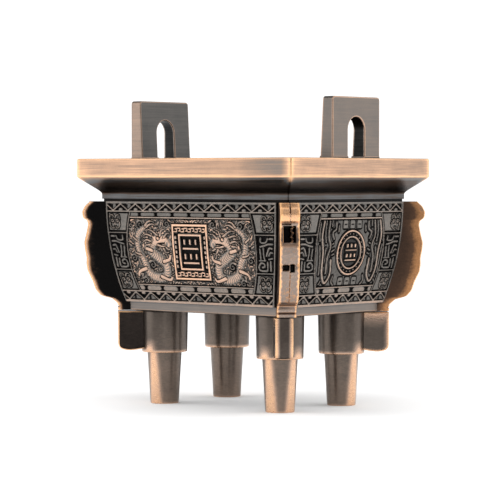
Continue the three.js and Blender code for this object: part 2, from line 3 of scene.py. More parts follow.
import bpy
import numpy as np
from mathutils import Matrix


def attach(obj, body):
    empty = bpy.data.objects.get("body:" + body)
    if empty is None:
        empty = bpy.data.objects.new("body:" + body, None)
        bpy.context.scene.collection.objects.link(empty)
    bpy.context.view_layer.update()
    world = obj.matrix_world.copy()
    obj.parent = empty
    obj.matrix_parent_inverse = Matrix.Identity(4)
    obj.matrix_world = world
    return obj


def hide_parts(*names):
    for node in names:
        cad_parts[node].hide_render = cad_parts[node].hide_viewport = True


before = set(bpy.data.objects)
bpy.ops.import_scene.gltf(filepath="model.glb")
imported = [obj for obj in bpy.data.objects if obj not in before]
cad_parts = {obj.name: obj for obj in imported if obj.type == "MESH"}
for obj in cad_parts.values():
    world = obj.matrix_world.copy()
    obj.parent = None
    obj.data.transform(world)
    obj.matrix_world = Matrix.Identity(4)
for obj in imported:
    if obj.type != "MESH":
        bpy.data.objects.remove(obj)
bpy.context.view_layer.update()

# Sizes of the part, in millimetres, as in the solids
MM = 0.001
HALF_LENGTH = 65.0
HALF_WIDTH = 50.75
LEG_HEIGHT = 43.9
BASE_TOP = LEG_HEIGHT + 4.2
WALL_HEIGHT = 46.6
WALL_TOP = BASE_TOP + WALL_HEIGHT
NECK_BOTTOM = WALL_TOP + 1.2
NECK_TOP = NECK_BOTTOM + 2.2
FILLET_DROP = 2.6
CHAMFER_DROP = 5.2
CHAMFER_INSET = 6.2
RIM_BOTTOM = NECK_TOP + FILLET_DROP + CHAMFER_DROP
RIM_TOP = RIM_BOTTOM + 8.7
NECK_INSET = 8.3
GROOVE_DEPTH = 0.6
WALL_HALF_X = 59.2
WALL_HALF_Y = 45.05
WALL_RADIUS = 168.0
WALL_THICKNESS = 3.9
RELIEF = 0.9
BASE_STEP = 2.4
BOWL_FLOOR = LEG_HEIGHT + 4.4
MOUTH_MARGIN = 12.0
FLANGE_THICKNESS = 8.6
FLANGE_SPREAD = FLANGE_THICKNESS / sqrt(2)

PANEL_BOTTOM = BASE_TOP + 0.2
FRAME_LINE = 1.0
UPPER_ZIGZAG = 3.1
LOWER_ZIGZAG = 3.6
ZIGZAG_PITCH = 9.4
DIVIDER = 0.7
UPPER_DASH_BAND = 2.1
LOWER_DASH_BAND = 2.4
COLUMN_FLARE = 4.2
COLUMN_WAIST = 18.0
CELL_HEIGHT = 8.6
CELL_MARGIN = 0.6
LOWER_LINE = PANEL_BOTTOM + FRAME_LINE + LOWER_ZIGZAG
UPPER_LINE = WALL_TOP - FRAME_LINE - UPPER_ZIGZAG
FIELD_BOTTOM = LOWER_LINE + DIVIDER + LOWER_DASH_BAND
FIELD_TOP = UPPER_LINE - DIVIDER - UPPER_DASH_BAND
MIDDLE = (FIELD_BOTTOM + FIELD_TOP) / 2
MEDALLION_SHIFT = 0.9

# Tones run from 0, dark and low, to 1, rubbed down to the copper; in places a low tone is painted shade
# and a high one a painted glint
GROUND_TONE = 0.03
PIT_TONE = 0.06
SOFT_EDGE = 0.3


def inset(z):
    drop = np.clip(WALL_TOP - np.asarray(z, float), 0, None)
    return WALL_RADIUS - np.sqrt(WALL_RADIUS ** 2 - drop ** 2)


# Meshes

def show(name, data):
    thing = bpy.data.objects.new(name, data)
    bpy.context.scene.collection.objects.link(thing)
    return thing


def build(name, points, faces, tone, material, sharp, stands_for):
    mesh = bpy.data.meshes.new(name)
    mesh.from_pydata((np.asarray(points, float) * MM).tolist(), [], faces)
    mesh.validate()
    attribute = mesh.attributes.new("tone", "FLOAT", "POINT")
    attribute.data.foreach_set("value", np.clip(np.asarray(tone, np.float32), 0, 1))
    mesh.polygons.foreach_set("use_smooth", [True] * len(mesh.polygons))
    mesh.set_sharp_from_angle(angle=radians(sharp))
    mesh.materials.append(material)
    piece = show(name, mesh)
    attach(piece, "root")
    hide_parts(stands_for)
    return piece


def grid_faces(rows, columns):
    row, column = np.meshgrid(np.arange(rows - 1), np.arange(columns - 1), indexing="ij")
    first = (row * columns + column).ravel()
    return np.stack([first, first + 1, first + columns + 1, first + columns], 1).tolist()


def ring_faces(rings, count):
    faces = []
    for ring in range(rings - 1):
        for point in range(count):
            a = ring * count + point
            b = ring * count + (point + 1) % count
            faces.append([a, b, b + count, a + count])
    return faces


def turned(points, quarter):
    """Front wall points turned by quarters round Z."""
    x, y, z = np.asarray(points, float).T
    for _ in range(quarter):
        x, y = -y, x
    return np.stack([x, y, z], 1)


def at_corner(out, across, sx, sy, from_x, from_y):
    """X and Y of places measured out along a corner's diagonal and across it."""
    angle = atan2(sy, sx)
    x = sx * from_x + out * cos(angle) - across * sin(angle)
    y = sy * from_y + out * sin(angle) + across * cos(angle)
    return x, y


def smooth_step(value):
    value = np.clip(value, 0, 1)
    return value * value * (3 - 2 * value)


def spline(points, samples):
    """Smooth curve through the points."""
    points = np.asarray(points, float)
    padded = np.vstack([2 * points[0] - points[1], points, 2 * points[-1] - points[-2]])
    out = []
    for a, b, c, d in zip(padded[:-3], padded[1:-2], padded[2:-1], padded[3:]):
        for t in np.linspace(0, 1, samples, endpoint=False):
            out.append(0.5 * ((2 * b) + (c - a) * t + (2 * a - 5 * b + 4 * c - d) * t ** 2
                              + (3 * b - a - 3 * c + d) * t ** 3))
    out.append(points[-1])
    return np.array(out)


def lift(points):
    return [(u, z + MIDDLE) for u, z in points]


# Relief drawn as heights over a wall

class Relief:
    """Heights and tones over one wall: u along it, z up, q inwards from the panel's end."""

    def __init__(self, wall_half, gap, column, columns, rows):
        self.rows = np.linspace(BASE_TOP, WALL_TOP, rows)
        half = wall_half - FLANGE_SPREAD - gap - inset(self.rows)
        share = (self.rows - PANEL_BOTTOM - COLUMN_WAIST) / (WALL_HEIGHT / 2)
        self.z = np.repeat(self.rows[:, None], columns, 1)
        self.u = np.linspace(-1, 1, columns)[None, :] * (half[:, None] + gap + 0.5)
        self.a = np.abs(self.u)
        self.q = half[:, None] - self.a
        self.column = np.repeat((column + COLUMN_FLARE * share ** 2)[:, None], columns, 1)
        self.half = wall_half - FLANGE_SPREAD - gap - float(inset(MIDDLE)) - column
        self.h = np.zeros_like(self.u)
        self.tone = np.full_like(self.u, GROUND_TONE)

    def add(self, distance, height, tone, edge=SOFT_EDGE, at=slice(None)):
        share = smooth_step(0.5 - distance / edge)
        raised = height * share
        h, old = self.h[at], self.tone[at]
        self.tone[at] = np.where(raised > h, old + (tone - old) * share, old)
        self.h[at] = np.maximum(h, raised)

    def clear(self, distance, height=0.0, tone=GROUND_TONE, edge=SOFT_EDGE, at=slice(None)):
        share = smooth_step(0.5 - distance / edge)
        self.h[at] += (height - self.h[at]) * share
        self.tone[at] += (tone - self.tone[at]) * share

    def pit(self, distance, depth, tone=PIT_TONE, edge=0.26, at=slice(None)):
        share = smooth_step(0.5 - distance / edge)
        self.h[at] = np.maximum(self.h[at] - depth * share, 0)
        self.tone[at] += (tone - self.tone[at]) * share

    def box(self, x, x0, x1, z0, z1, radius=0.0):
        dx = np.abs(x - (x0 + x1) / 2) - (x1 - x0) / 2 + radius
        dz = np.abs(self.z - (z0 + z1) / 2) - (z1 - z0) / 2 + radius
        outside = np.hypot(np.maximum(dx, 0), np.maximum(dz, 0))
        return outside + np.minimum(np.maximum(dx, dz), 0) - radius

    def near(self, x, points, reach):
        """The samples within reach of a line: where, distance, distance along, length."""
        points = np.asarray(points, float)
        low, high = points.min(0) - reach, points.max(0) + reach
        first, last = np.searchsorted(self.rows, (low[1], high[1]))
        found = np.nonzero((x[first:last] > low[0]) & (x[first:last] < high[0]))
        at = (found[0] + first, found[1])
        px, pz = x[at], self.z[at]
        best = np.full(px.shape, 1e9)
        along = np.zeros_like(best)
        travelled = 0.0
        for (x0, z0), (x1, z1) in zip(points[:-1], points[1:]):
            dx, dz = x1 - x0, z1 - z0
            length = hypot(dx, dz) or 1e-6
            t = np.clip(((px - x0) * dx + (pz - z0) * dz) / length ** 2, 0, 1)
            distance = np.hypot(px - x0 - t * dx, pz - z0 - t * dz)
            nearer = distance < best
            best = np.where(nearer, distance, best)
            along = np.where(nearer, travelled + t * length, along)
            travelled += length
        return at, best, along, travelled

    def line(self, x, points, width, height, tone, end_width=None, curved=True, crown=0.0, moat=0.0):
        """A raised line, with a dark moat cleared round it first where one is given."""
        points = spline(points, 6) if curved and len(points) > 2 else points
        at, distance, along, total = self.near(x, points, width + moat + 0.6)
        last = width if end_width is None else end_width
        half = (width + (last - width) * along / total) / 2
        if moat:
            self.clear(distance - half - moat, 0.02, at=at)
        top = crown * np.sqrt(np.clip(1 - (distance / half) ** 2, 0, 1))
        self.add(distance - half, height + top, tone, at=at)

    def groove(self, x, points, width, depth, tone=PIT_TONE):
        at, distance, _, _ = self.near(x, points, width + 0.6)
        self.pit(distance - width / 2, depth, tone, at=at)

    def spot(self, x, centre_x, centre_z, radius):
        """Distance outside a small circle, and the samples near it."""
        first, last = np.searchsorted(self.rows, (centre_z - radius - 0.6, centre_z + radius + 0.6))
        found = np.nonzero(np.abs(x[first:last] - centre_x) < radius + 0.6)
        at = (found[0] + first, found[1])
        return at, np.hypot(x[at] - centre_x, self.z[at] - centre_z) - radius

    def knob(self, x, centre_x, centre_z, radius, height, tone):
        at, distance = self.spot(x, centre_x, centre_z, radius)
        top = 0.3 * np.sqrt(np.clip(-distance / radius, 0, 1))
        self.add(distance, height + top, tone, at=at)

    def hole(self, x, centre_x, centre_z, radius, depth, tone=0.05):
        at, distance = self.spot(x, centre_x, centre_z, radius)
        self.pit(distance, depth, tone, at=at)

    def rubbed(self):
        """High places are rubbed brighter, low ones stay dark."""
        share = smooth_step(self.h / 0.75)
        self.tone = self.tone * (0.35 + 0.65 * share)


def frames(r):
    r.add(np.abs(r.q - FRAME_LINE / 2) - FRAME_LINE / 2, RELIEF, 0.56)
    lines = (
        (WALL_TOP - FRAME_LINE, WALL_TOP + 2, 0.56),
        (UPPER_LINE - DIVIDER, UPPER_LINE, 0.62),
        (LOWER_LINE, LOWER_LINE + DIVIDER, 0.68),
        (BASE_TOP - 2, PANEL_BOTTOM + FRAME_LINE, 0.72),
    )
    for z0, z1, tone in lines:
        r.add(np.maximum(r.box(r.u, -99, 99, z0, z1), -r.q), RELIEF, tone)


def zigzag(r, low, high, upward):
    """Raised zigzag line; raised ground on one side of it, half-round knobs on the other, and a dark pit
    set to one side in each tooth as a painted shadow.
    """
    height = high - low
    turn = r.u / ZIGZAG_PITCH
    phase = np.abs(2 * (turn - np.floor(turn)) - 1)
    slope = 1 / hypot(1, 2 * height / ZIGZAG_PITCH)
    wave = low + height * (1 - phase) if upward else low + height * phase
    if not upward:
        wave = np.minimum(wave, high - 0.5)
    gap = (r.z - wave) * slope
    peak = (turn - np.floor(turn) - 0.5) * ZIGZAG_PITCH
    valley = (turn + 0.5 - np.floor(turn + 0.5) - 0.5) * ZIGZAG_PITCH
    band = np.maximum(r.box(r.u, -99, 99, low, high), FRAME_LINE - r.q)
    if upward:
        knob = np.hypot(peak * 0.72, r.z - low - 0.35) - 0.95
        ground = np.maximum(0.62 - gap, np.abs(valley) - 2.9 + 0.5 * (r.z - low))
        shadow_pit = np.maximum(np.maximum(0.75 - gap, np.abs(valley + 1.1) - 0.7), band + 0.3)
    else:
        knob = np.hypot(peak * 0.72, high - 0.35 - r.z) - 0.9
        ground = np.maximum(gap + 0.62, low + 0.25 - r.z)
        shadow_pit = np.maximum(np.maximum(gap + 0.7, np.abs(valley + 0.8) - 0.55), band + 0.5)
    r.add(np.maximum(knob, band), 0.7, 0.58 if upward else 0.66)
    r.add(np.maximum(ground, band), 0.62 if upward else 0.66, 0.5)
    r.pit(shadow_pit, 0.5)
    r.add(np.maximum(np.abs(gap) - 0.4, band - 0.2), RELIEF * 0.95, 0.64)


def dashes(r, low, high, pitch, length, tone):
    count = int(2 * r.half // pitch) + 1
    middle = (low + high) / 2
    reach = (high - low) / 2 - 0.2
    centres = (np.arange(count) - (count - 1) / 2) * pitch
    offset_u = np.min(np.abs(r.u[None] - centres[:, None, None]), 0)
    ends = np.clip(offset_u - length / 2 + reach, 0, None)
    bar = np.hypot(ends, np.maximum(np.abs(r.z - middle) - 0.1, 0)) - reach
    r.add(np.maximum(bar, r.column - r.q + 0.3), 0.68, tone)


def field_lines(r):
    for z in (FIELD_TOP - DIVIDER, FIELD_BOTTOM):
        r.add(np.maximum(r.box(r.u, -99, 99, z, z + DIVIDER), r.column - 0.4 - r.q), RELIEF, 0.7)


# Hooked strokes of a column's middle cell: [in from the panel's end, up], width
HOOKS = [
    ([(1.2, 15.3), (3.6, 15.3)], 1.0),
    ([(4.6, 15.5), (5.6, 13.8), (7.8, 13.4), (9.2, 14.0), (9.2, 15.6)], 0.95),
    ([(1.4, 12.9), (4.2, 12.9), (6.6, 12.2), (9.3, 11.7)], 1.05),
    ([(1.6, 10.9), (3.4, 11.1), (4.3, 9.6), (5.0, 7.6)], 1.1),
    ([(1.3, 9.0), (2.7, 9.0), (3.6, 7.6)], 0.95),
    ([(9.4, 10.6), (9.0, 8.4), (8.6, 6.0)], 1.0),
    ([(7.2, 11.0), (6.9, 8.2), (6.0, 5.4)], 1.0),
    ([(1.2, 6.4), (3.4, 6.0)], 0.95),
    ([(2.2, 4.9), (1.9, 0.8)], 1.2),
    ([(4.2, 4.6), (4.0, 1.0), (6.0, 0.6), (8.8, 0.9), (9.6, 2.6), (8.4, 4.2), (6.3, 3.8), (6.1, 2.5),
      (7.4, 2.2)], 1.05),
    ([(5.6, 5.4), (9.6, 5.3)], 0.8),
]
HOOKS_WIDTH = 8.6
HOOKS_HEIGHT = 16.4

# Strands of half a mask: [out from its middle, up]
MASK_BROW = [(0.3, 1.9), (1.2, 3.1), (2.8, 3.0), (3.2, 1.8), (2.6, 1.4)]
MASK_JAW = [(3.0, -0.2), (2.9, -1.7), (1.8, -2.9), (0.7, -2.9), (0.6, -2.1)]


def mask(r, centre, middle, rng):
    """A small round-eyed face with curled brows and jaw, and a pitted ground round it."""
    for _ in range(16):
        angle, reach = rng.uniform(0, 2 * pi), rng.uniform(2.6, 3.9)
        x, z = centre + reach * cos(angle), middle + reach * sin(angle)
        r.hole(r.q, x, z, radius=rng.uniform(0.2, 0.34), depth=0.5)
    for side in (-1.0, 1.0):
        for strand in (MASK_BROW, MASK_JAW):
            placed = [(centre + side * out, middle + up) for out, up in strand]
            r.line(r.q, placed, 0.8, 0.82, 0.62, end_width=0.5, crown=0.12, moat=0.2)
        eye = (centre + side * 1.5, middle + 0.5)
        at, ring = r.spot(r.q, *eye, 1.3)
        r.pit(np.abs(ring + 0.15) - 0.14, 0.4, at=at)
        r.knob(r.q, *eye, 0.95, 0.74, 0.64)
        r.hole(r.q, *eye, radius=0.3, depth=0.6)
    r.knob(r.q, centre, middle - 1.0, 0.7, 0.8, 0.64)


def columns(r, seed):
    rng = np.random.default_rng(seed)
    low, high = LOWER_LINE + DIVIDER, UPPER_LINE - DIVIDER
    within = np.maximum(low - r.z, r.z - high)
    r.clear(np.maximum(np.maximum(r.q - r.column, FRAME_LINE - r.q), within))
    r.add(np.maximum(np.abs(r.q - r.column + DIVIDER / 2) - DIVIDER / 2, within), RELIEF, 0.6)
    for z in (low + CELL_HEIGHT + CELL_MARGIN, high - CELL_HEIGHT - CELL_MARGIN - DIVIDER):
        across = np.maximum(r.q - r.column, -r.q)
        r.add(np.maximum(np.abs(r.z - z - DIVIDER / 2) - DIVIDER / 2, across), RELIEF, 0.58)
    for z0, z1 in ((low + 0.5, low + CELL_HEIGHT), (high - CELL_HEIGHT, high - 0.5)):
        inner = r.q - r.column + DIVIDER + 0.75
        plate = np.maximum(np.maximum(inner, FRAME_LINE + 0.55 - r.q), np.maximum(z0 - r.z, r.z - z1))
        r.add(plate, 0.64, 0.56, 0.4)
        mask(r, FRAME_LINE + 4.3, (z0 + z1) / 2, rng)
    base = low + CELL_HEIGHT + CELL_MARGIN + DIVIDER + 0.3
    room = high - CELL_HEIGHT - CELL_MARGIN - DIVIDER - 0.3 - base
    waist = float(r.column.min())
    for points, width in HOOKS:
        placed = [(1.9 + (x - 1.2) * (waist - 3.6) / HOOKS_WIDTH, base + z * room / HOOKS_HEIGHT)
                  for x, z in points]
        r.line(r.q, placed, width * 0.95, 0.74, 0.56, crown=0.1)


def stroke_rows(r, shift, reach, pitch):
    """Rows of plain strokes, a lying one under three upright ones."""
    x = r.u - shift
    for row in (-0.5, 0.5):
        z = MIDDLE + row * pitch * 1.5
        r.add(r.box(x, -reach, reach, z - pitch * 0.5, z - pitch * 0.25, 0.2), 0.92, 0.8)
        for index in (-1, 0, 1):
            u = index * reach * 0.7
            r.add(r.box(x, u - 0.55, u + 0.55, z, z + pitch * 0.6, 0.2), 0.92, 0.8)


# Nearer to the middle than this the cartouche takes the place of the flames
FLAMES_FROM_U = 10.5
FLAMES_FROM_Z = 13.4


def flames(r, rng):
    """Short curling strands all over the field, following one swirling flow."""
    for u0 in np.arange(0.8, 42.0, 1.7):
        for z0 in np.arange(-15.6, 15.8, 1.55):
            if u0 < FLAMES_FROM_U and abs(z0) < FLAMES_FROM_Z:
                continue
            u, z = u0 + rng.uniform(-0.7, 0.7), z0 + rng.uniform(-0.6, 0.6)
            heading = 2.4 * sin(0.2 * u + 0.12 * z) + 2.0 * cos(0.21 * z - 0.1 * u)
            heading += rng.uniform(-0.35, 0.35)
            bend = rng.choice((-1, 1)) * rng.uniform(0.15, 0.42)
            points = [(u, z)]
            for _ in range(3):
                last = points[-1]
                points.append((last[0] + 1.05 * cos(heading), last[1] + 1.05 * sin(heading)))
                heading += bend
            height, tone = rng.uniform(0.5, 0.68), rng.uniform(0.66, 0.84)
            r.line(r.a, lift(points), 0.95, height, tone, end_width=0.35, crown=0.16, moat=0.05)


def cloud(r, u, z, size, turn):
    """A spiral curl."""
    points = []
    steps = 14
    for step in range(steps + 1):
        share = step / steps
        angle = turn * (0.6 + share * 2.6 * pi)
        radius = size * (1 - 0.86 * share)
        points.append((u + radius * cos(angle), z + MIDDLE + radius * sin(angle)))
    at, distance = r.spot(r.a, u, z + MIDDLE, size)
    r.clear(distance, 0.03, 0.04, at=at)
    r.line(r.a, points, 0.85, 0.6, 0.6, end_width=0.55, curved=False, crown=0.15)


# Lines of a dragon: [out from the wall's middle, up from the field's middle]
DRAGON_BODY = [
    (14.6, 3.6), (18.4, 5.6), (22.6, 4.4), (24.6, 0.6), (20.6, -2.6), (16.2, -5.8),
    (16.4, -10.6), (21.6, -12.2), (27.0, -10.0), (29.4, -4.4), (32.6, 1.4), (32.0, 8.0), (26.6, 11.4),
]
DRAGON_LIMBS = [
    [(24.0, 0.4), (28.4, 1.8), (29.2, 4.6)],
    [(17.0, -4.6), (13.4, -3.4), (12.6, -0.8)],
    [(28.6, -8.0), (33.0, -9.6), (33.8, -12.2)],
    [(19.4, -11.6), (14.4, -13.0), (12.6, -11.0)],
]
DRAGON_MANE = [
    [(20.0, 7.4), (24.2, 9.8), (28.0, 9.4)],
    [(22.6, 6.6), (26.6, 7.8), (29.2, 6.8)],
    [(24.0, 4.6), (27.2, 5.2), (29.6, 3.6)],
    [(25.0, 3.0), (27.6, 2.6), (28.4, 0.8)],
    [(16.0, 6.6), (13.8, 8.4), (11.9, 8.0)],
    [(18.4, 7.2), (17.4, 9.6), (14.8, 10.6)],
    [(15.0, 2.0), (13.2, 1.0), (12.2, 2.2)],
    [(16.6, 1.6), (15.2, -0.4), (13.4, -0.2)],
    [(31.0, -1.6), (34.2, -0.6), (35.0, 2.2)],
    [(33.0, 5.0), (35.4, 7.0), (34.6, 9.6)],
    [(26.6, 11.2), (23.4, 12.6), (20.2, 11.6)],
    [(27.4, 11.8), (25.0, 13.8), (21.6, 13.6)],
]
DRAGON_EYE = (19.6, MIDDLE + 6.1)
# Clouds: out, up, size, way of turning
CLOUDS = [
    (30.4, 12.4, 1.9, 1), (14.0, 12.6, 1.8, -1), (35.4, -3.2, 1.8, 1), (24.2, -6.2, 2.0, 1),
    (13.4, -7.6, 1.5, -1), (36.4, 11.6, 1.6, -1), (29.6, -13.6, 1.7, 1), (21.2, -14.4, 1.2, -1),
]


def dragon(r):
    body = spline(lift(DRAGON_BODY), 8)
    at, distance, along, total = r.near(r.a, body, 4.0)
    half = 2.0 - 1.2 * (along / total) ** 1.3
    fin = half + 0.35 + 0.75 * np.abs(2 * ((along / 1.5) % 1) - 1)
    r.clear(distance - fin - 0.12, 0.04, 0.04, at=at)
    r.add(distance - fin, 0.55, 0.66, at=at)
    crown = 0.4 * np.sqrt(np.clip(1 - (distance / half) ** 2, 0, 1))
    scales = 0.5 + 0.5 * np.cos(2 * pi * (along / 1.1 + (distance / half) ** 2 * 0.6))
    inside = distance < half
    r.add(distance - half, 0.6 + crown - 0.2 * scales * inside, 0.78, at=at)
    r.tone[at] = np.where(inside, 0.86 - 0.3 * scales, r.tone[at])
    for limb in DRAGON_LIMBS:
        points = lift(limb)
        (x0, z0), (x1, z1) = points[-2], points[-1]
        r.line(r.a, points, 1.9, 0.62, 0.8, 1.2, crown=0.3, moat=0.15)
        heading = atan2(z1 - z0, x1 - x0)
        for spread in (-1.0, -0.35, 0.35, 1.0):
            tip = (x1 + 1.8 * cos(heading + spread), z1 + 1.8 * sin(heading + spread))
            r.line(r.a, [(x1, z1), tip], 0.7, 0.62, 0.74, 0.3, crown=0.15, moat=0.12)
    for strand in DRAGON_MANE:
        r.line(r.a, lift(strand), 1.2, 0.6, 0.8, 0.5, crown=0.24, moat=0.15)
        r.groove(r.a, lift(strand), 0.12, 0.2, 0.4)
    head = np.hypot((r.a - 21.2) / 1.35, r.z - MIDDLE - 4.9) - 2.1
    r.add(head, 0.78 + 0.28 * np.sqrt(np.clip(-head / 2.1, 0, 1)), 0.78, 0.4)
    r.line(r.a, lift([(20.4, 4.6), (17.2, 5.0), (14.2, 5.6)]), 2.4, 0.74, 0.8, 1.4, crown=0.3)
    r.line(r.a, lift([(19.8, 3.0), (17.2, 2.4), (15.2, 2.6)]), 1.1, 0.7, 0.76, 0.7, crown=0.2, moat=0.15)
    r.groove(r.a, lift([(19.4, 3.7), (15.6, 3.9)]), 0.5, 0.5)
    for reach, tilt in ((1.6, 0.5), (2.4, 0.2), (3.2, -0.15)):
        gill = [(21.0 + reach * 0.8, 6.6 - reach), (22.6 + reach * 0.5, 6.4 + tilt)]
        r.groove(r.a, lift(gill), 0.22, 0.4, 0.2)
    r.knob(r.a, *DRAGON_EYE, 0.7, 0.95, 0.86)
    at, ring = r.spot(r.a, *DRAGON_EYE, 1.2)
    r.pit(np.abs(ring + 0.2) - 0.14, 0.4, at=at)
    r.knob(r.a, 14.4, MIDDLE + 6.1, 0.55, 0.9, 0.84)


def cartouche(r):
    """Two nested frames with a key band and a chain between them, round the stroke rows."""
    r.clear(r.box(r.u, -11.2, 11.2, MIDDLE - 13.2, MIDDLE + 13.2))
    for half_u, half_z, line, tone in ((10.8, 12.8, 1.15, 0.88), (7.0, 8.3, 1.05, 0.86)):
        outer = r.box(r.u, -half_u, half_u, MIDDLE - half_z, MIDDLE + half_z)
        r.add(np.abs(outer + line / 2) - line / 2, 0.92, tone)
    for side in (-1, 1):
        z = MIDDLE + side * 10.1
        for index in range(-4, 5):
            u = index * 2.1
            up = 1 if index % 2 else -1
            high, low = z + 0.8 * up, z - 0.5 * up
            key = [(u - 0.9, high), (u + 0.7, high), (u + 0.7, low), (u - 0.2, low)]
            r.line(r.u, key, 0.75, 0.84, 0.86, curved=False)
        r.add(r.box(r.u, -9.5, 9.5, z - side * 1.55 - 0.2, z - side * 1.55 + 0.2), 0.7, 0.62)
        u = side * 8.83
        for index in range(-3, 4):
            middle = MIDDLE + index * 2.2
            r.add(r.box(r.u, u - 0.6, u + 0.6, middle - 0.85, middle + 0.85, 0.5), 0.8, 0.74)
    stroke_rows(r, 0.0, 4.8, 4.4)


def bands(r, pitch, length, seed):
    dashes(r, FIELD_TOP, UPPER_LINE - DIVIDER, pitch, length, 0.52)
    dashes(r, LOWER_LINE + DIVIDER, FIELD_BOTTOM, pitch, length, 0.62)
    field_lines(r)
    columns(r, seed)
    frames(r)
    zigzag(r, UPPER_LINE, WALL_TOP - FRAME_LINE, True)
    zigzag(r, PANEL_BOTTOM + FRAME_LINE, LOWER_LINE, False)
    r.rubbed()
    return r


def field_edge(r):
    return np.maximum(r.column + 0.3 - r.q, np.maximum(FIELD_BOTTOM + 1 - r.z, r.z - FIELD_TOP + 1))


def long_wall(seed):
    r = Relief(WALL_HALF_X, gap=1.4, column=11.3, columns=430, rows=200)
    field = field_edge(r)
    r.add(field, 0.34, 0.6)
    flames(r, np.random.default_rng(seed))
    for u, z, size, turn in CLOUDS:
        cloud(r, u, z, size, turn)
    dragon(r)
    r.clear(-field)
    cartouche(r)
    return bands(r, pitch=10.2, length=8.6, seed=seed)


# Straps of an end wall: [out from the medallion's middle, up from the field's middle]
STRAP_OUTER = [
    (20.4, 14.6), (21.6, 8.0), (20.2, 0.6), (19.6, -8.0), (16.6, -13.4), (13.6, -9.6), (14.0, -3.0),
]
STRAP_INNER = [(16.4, 14.4), (17.0, 8.0), (15.2, 3.2), (16.8, -2.0), (16.6, -9.0)]
STRAP_HOOK = [(11.8, 14.0), (12.0, 10.8), (14.2, 9.2), (13.0, 6.4)]
STRAP_BITS = [
    [(18.7, 14.6), (19.2, 9.0), (18.4, 5.0)],
    [(22.8, 3.4), (21.8, -3.0), (21.4, -9.6)],
    [(13.0, 4.4), (14.4, 3.6), (15.0, 2.4)],
    [(12.2, 1.6), (14.0, 0.8)],
    [(12.2, -0.4), (13.6, -0.8)],
    [(18.2, 2.4), (18.6, -1.2), (17.8, -5.0)],
    [(22.8, 13.6), (23.4, 9.6), (23.0, 5.6)],
    [(10.0, -14.6), (11.6, -12.8), (11.0, -10.4)],
    [(14.4, 14.8), (14.6, 12.0)],
    [(18.6, -11.4), (20.4, -13.8)],
    [(9.6, 12.4), (9.9, 9.6)],
]


BEAD_COUNT = 22
BEAD_CIRCLE = 8.52


def medallion(r):
    """Two rings with beads between them, round the stroke rows."""
    x = r.u - MEDALLION_SHIFT
    distance = np.hypot(x, r.z - MIDDLE)
    r.clear(distance - 10.9)
    r.add(np.abs(distance - 9.85) - 0.46, 0.95, 0.8)
    r.add(np.abs(distance - 7.2) - 0.4, 0.92, 0.76)
    angle = np.arctan2(r.z - MIDDLE, x)
    step = 2 * pi / BEAD_COUNT
    near = np.round(angle / step) * step
    bead = np.hypot(x - BEAD_CIRCLE * np.cos(near), r.z - MIDDLE - BEAD_CIRCLE * np.sin(near))
    r.add(bead - 0.4, 0.66, 0.74)
    r.add(distance - 6.2, 0.3 + 0.06 * np.sin(r.u * 5) * np.sin(r.z * 4), 0.42, 0.8)
    r.clear(r.box(x, -4.6, 4.6, MIDDLE - 4.4, MIDDLE + 4.6, 1.0), 0.05, 0.05)
    stroke_rows(r, MEDALLION_SHIFT, 4.0, 3.0)


def short_wall(seed):
    r = Relief(WALL_HALF_Y, gap=0.5, column=12.4, columns=330, rows=200)
    field = field_edge(r)
    x = np.abs(r.u - MEDALLION_SHIFT)
    ripple = 0.06 * np.sin(x * 1.9 + np.sin(r.z * 0.8)) * np.sin(r.z * 1.4)
    r.add(field + 0.2, 0.58 + ripple, 0.48)
    for points in STRAP_BITS:
        r.line(x, lift(points), 0.8, 0.68, 0.58, crown=0.15, moat=0.6)
    straps = ((STRAP_INNER, 1.0, 0.6), (STRAP_HOOK, 1.0, 0.58), (STRAP_OUTER, 1.15, 0.68))
    for points, width, tone in straps:
        r.line(x, lift(points), width, 0.74, tone, crown=0.2, moat=0.7)
    for index in (-1, 0, 1):
        for z0, z1 in ((FIELD_TOP - 5.0, FIELD_TOP - 1.2), (FIELD_BOTTOM + 1.2, FIELD_BOTTOM + 4.8)):
            middle = MEDALLION_SHIFT + index * 5
            block = r.box(r.u, middle - 1.7, middle + 1.7, z0, z1, 0.5)
            r.clear(block - 0.5, 0.02)
            r.add(block, 0.7, 0.54)
            height = (z0 + z1) / 2
            r.pit(r.box(r.u, middle - 0.9, middle + 0.9, height - 0.25, height + 0.2), 0.35)
    r.clear(-field)
    medallion(r)
    return bands(r, pitch=11.0, length=8.6, seed=seed)


def wall_mesh(name, r, depth_half, quarter, material):
    """The relief laid on its curved wall, with a skirt above and below."""
    columns_count = r.u.shape[1]
    surface = -(depth_half - RELIEF - inset(r.z) + np.minimum(r.h, RELIEF + 0.3))
    points = np.stack([r.u, surface, r.z], -1)
    top = points[-1].copy()
    top[:, 1] = -(depth_half - 3.6)
    low = points[0].copy()
    low[:, 1] = -(depth_half - float(inset(BASE_TOP)) - 3.4)
    full = np.concatenate([low[None], points[:1], points, points[-1:], top[None]])
    dull = np.full_like(r.tone[:1], 0.3)
    tone = np.concatenate([dull, r.tone[:1], r.tone, r.tone[-1:], dull])
    faces = grid_faces(full.shape[0], columns_count)
    points = turned(full.reshape(-1, 3), quarter)
    return build(name, points, faces, tone.ravel(), material, 40, "vessel_body")


# Rectangles with rounded corners, stacked

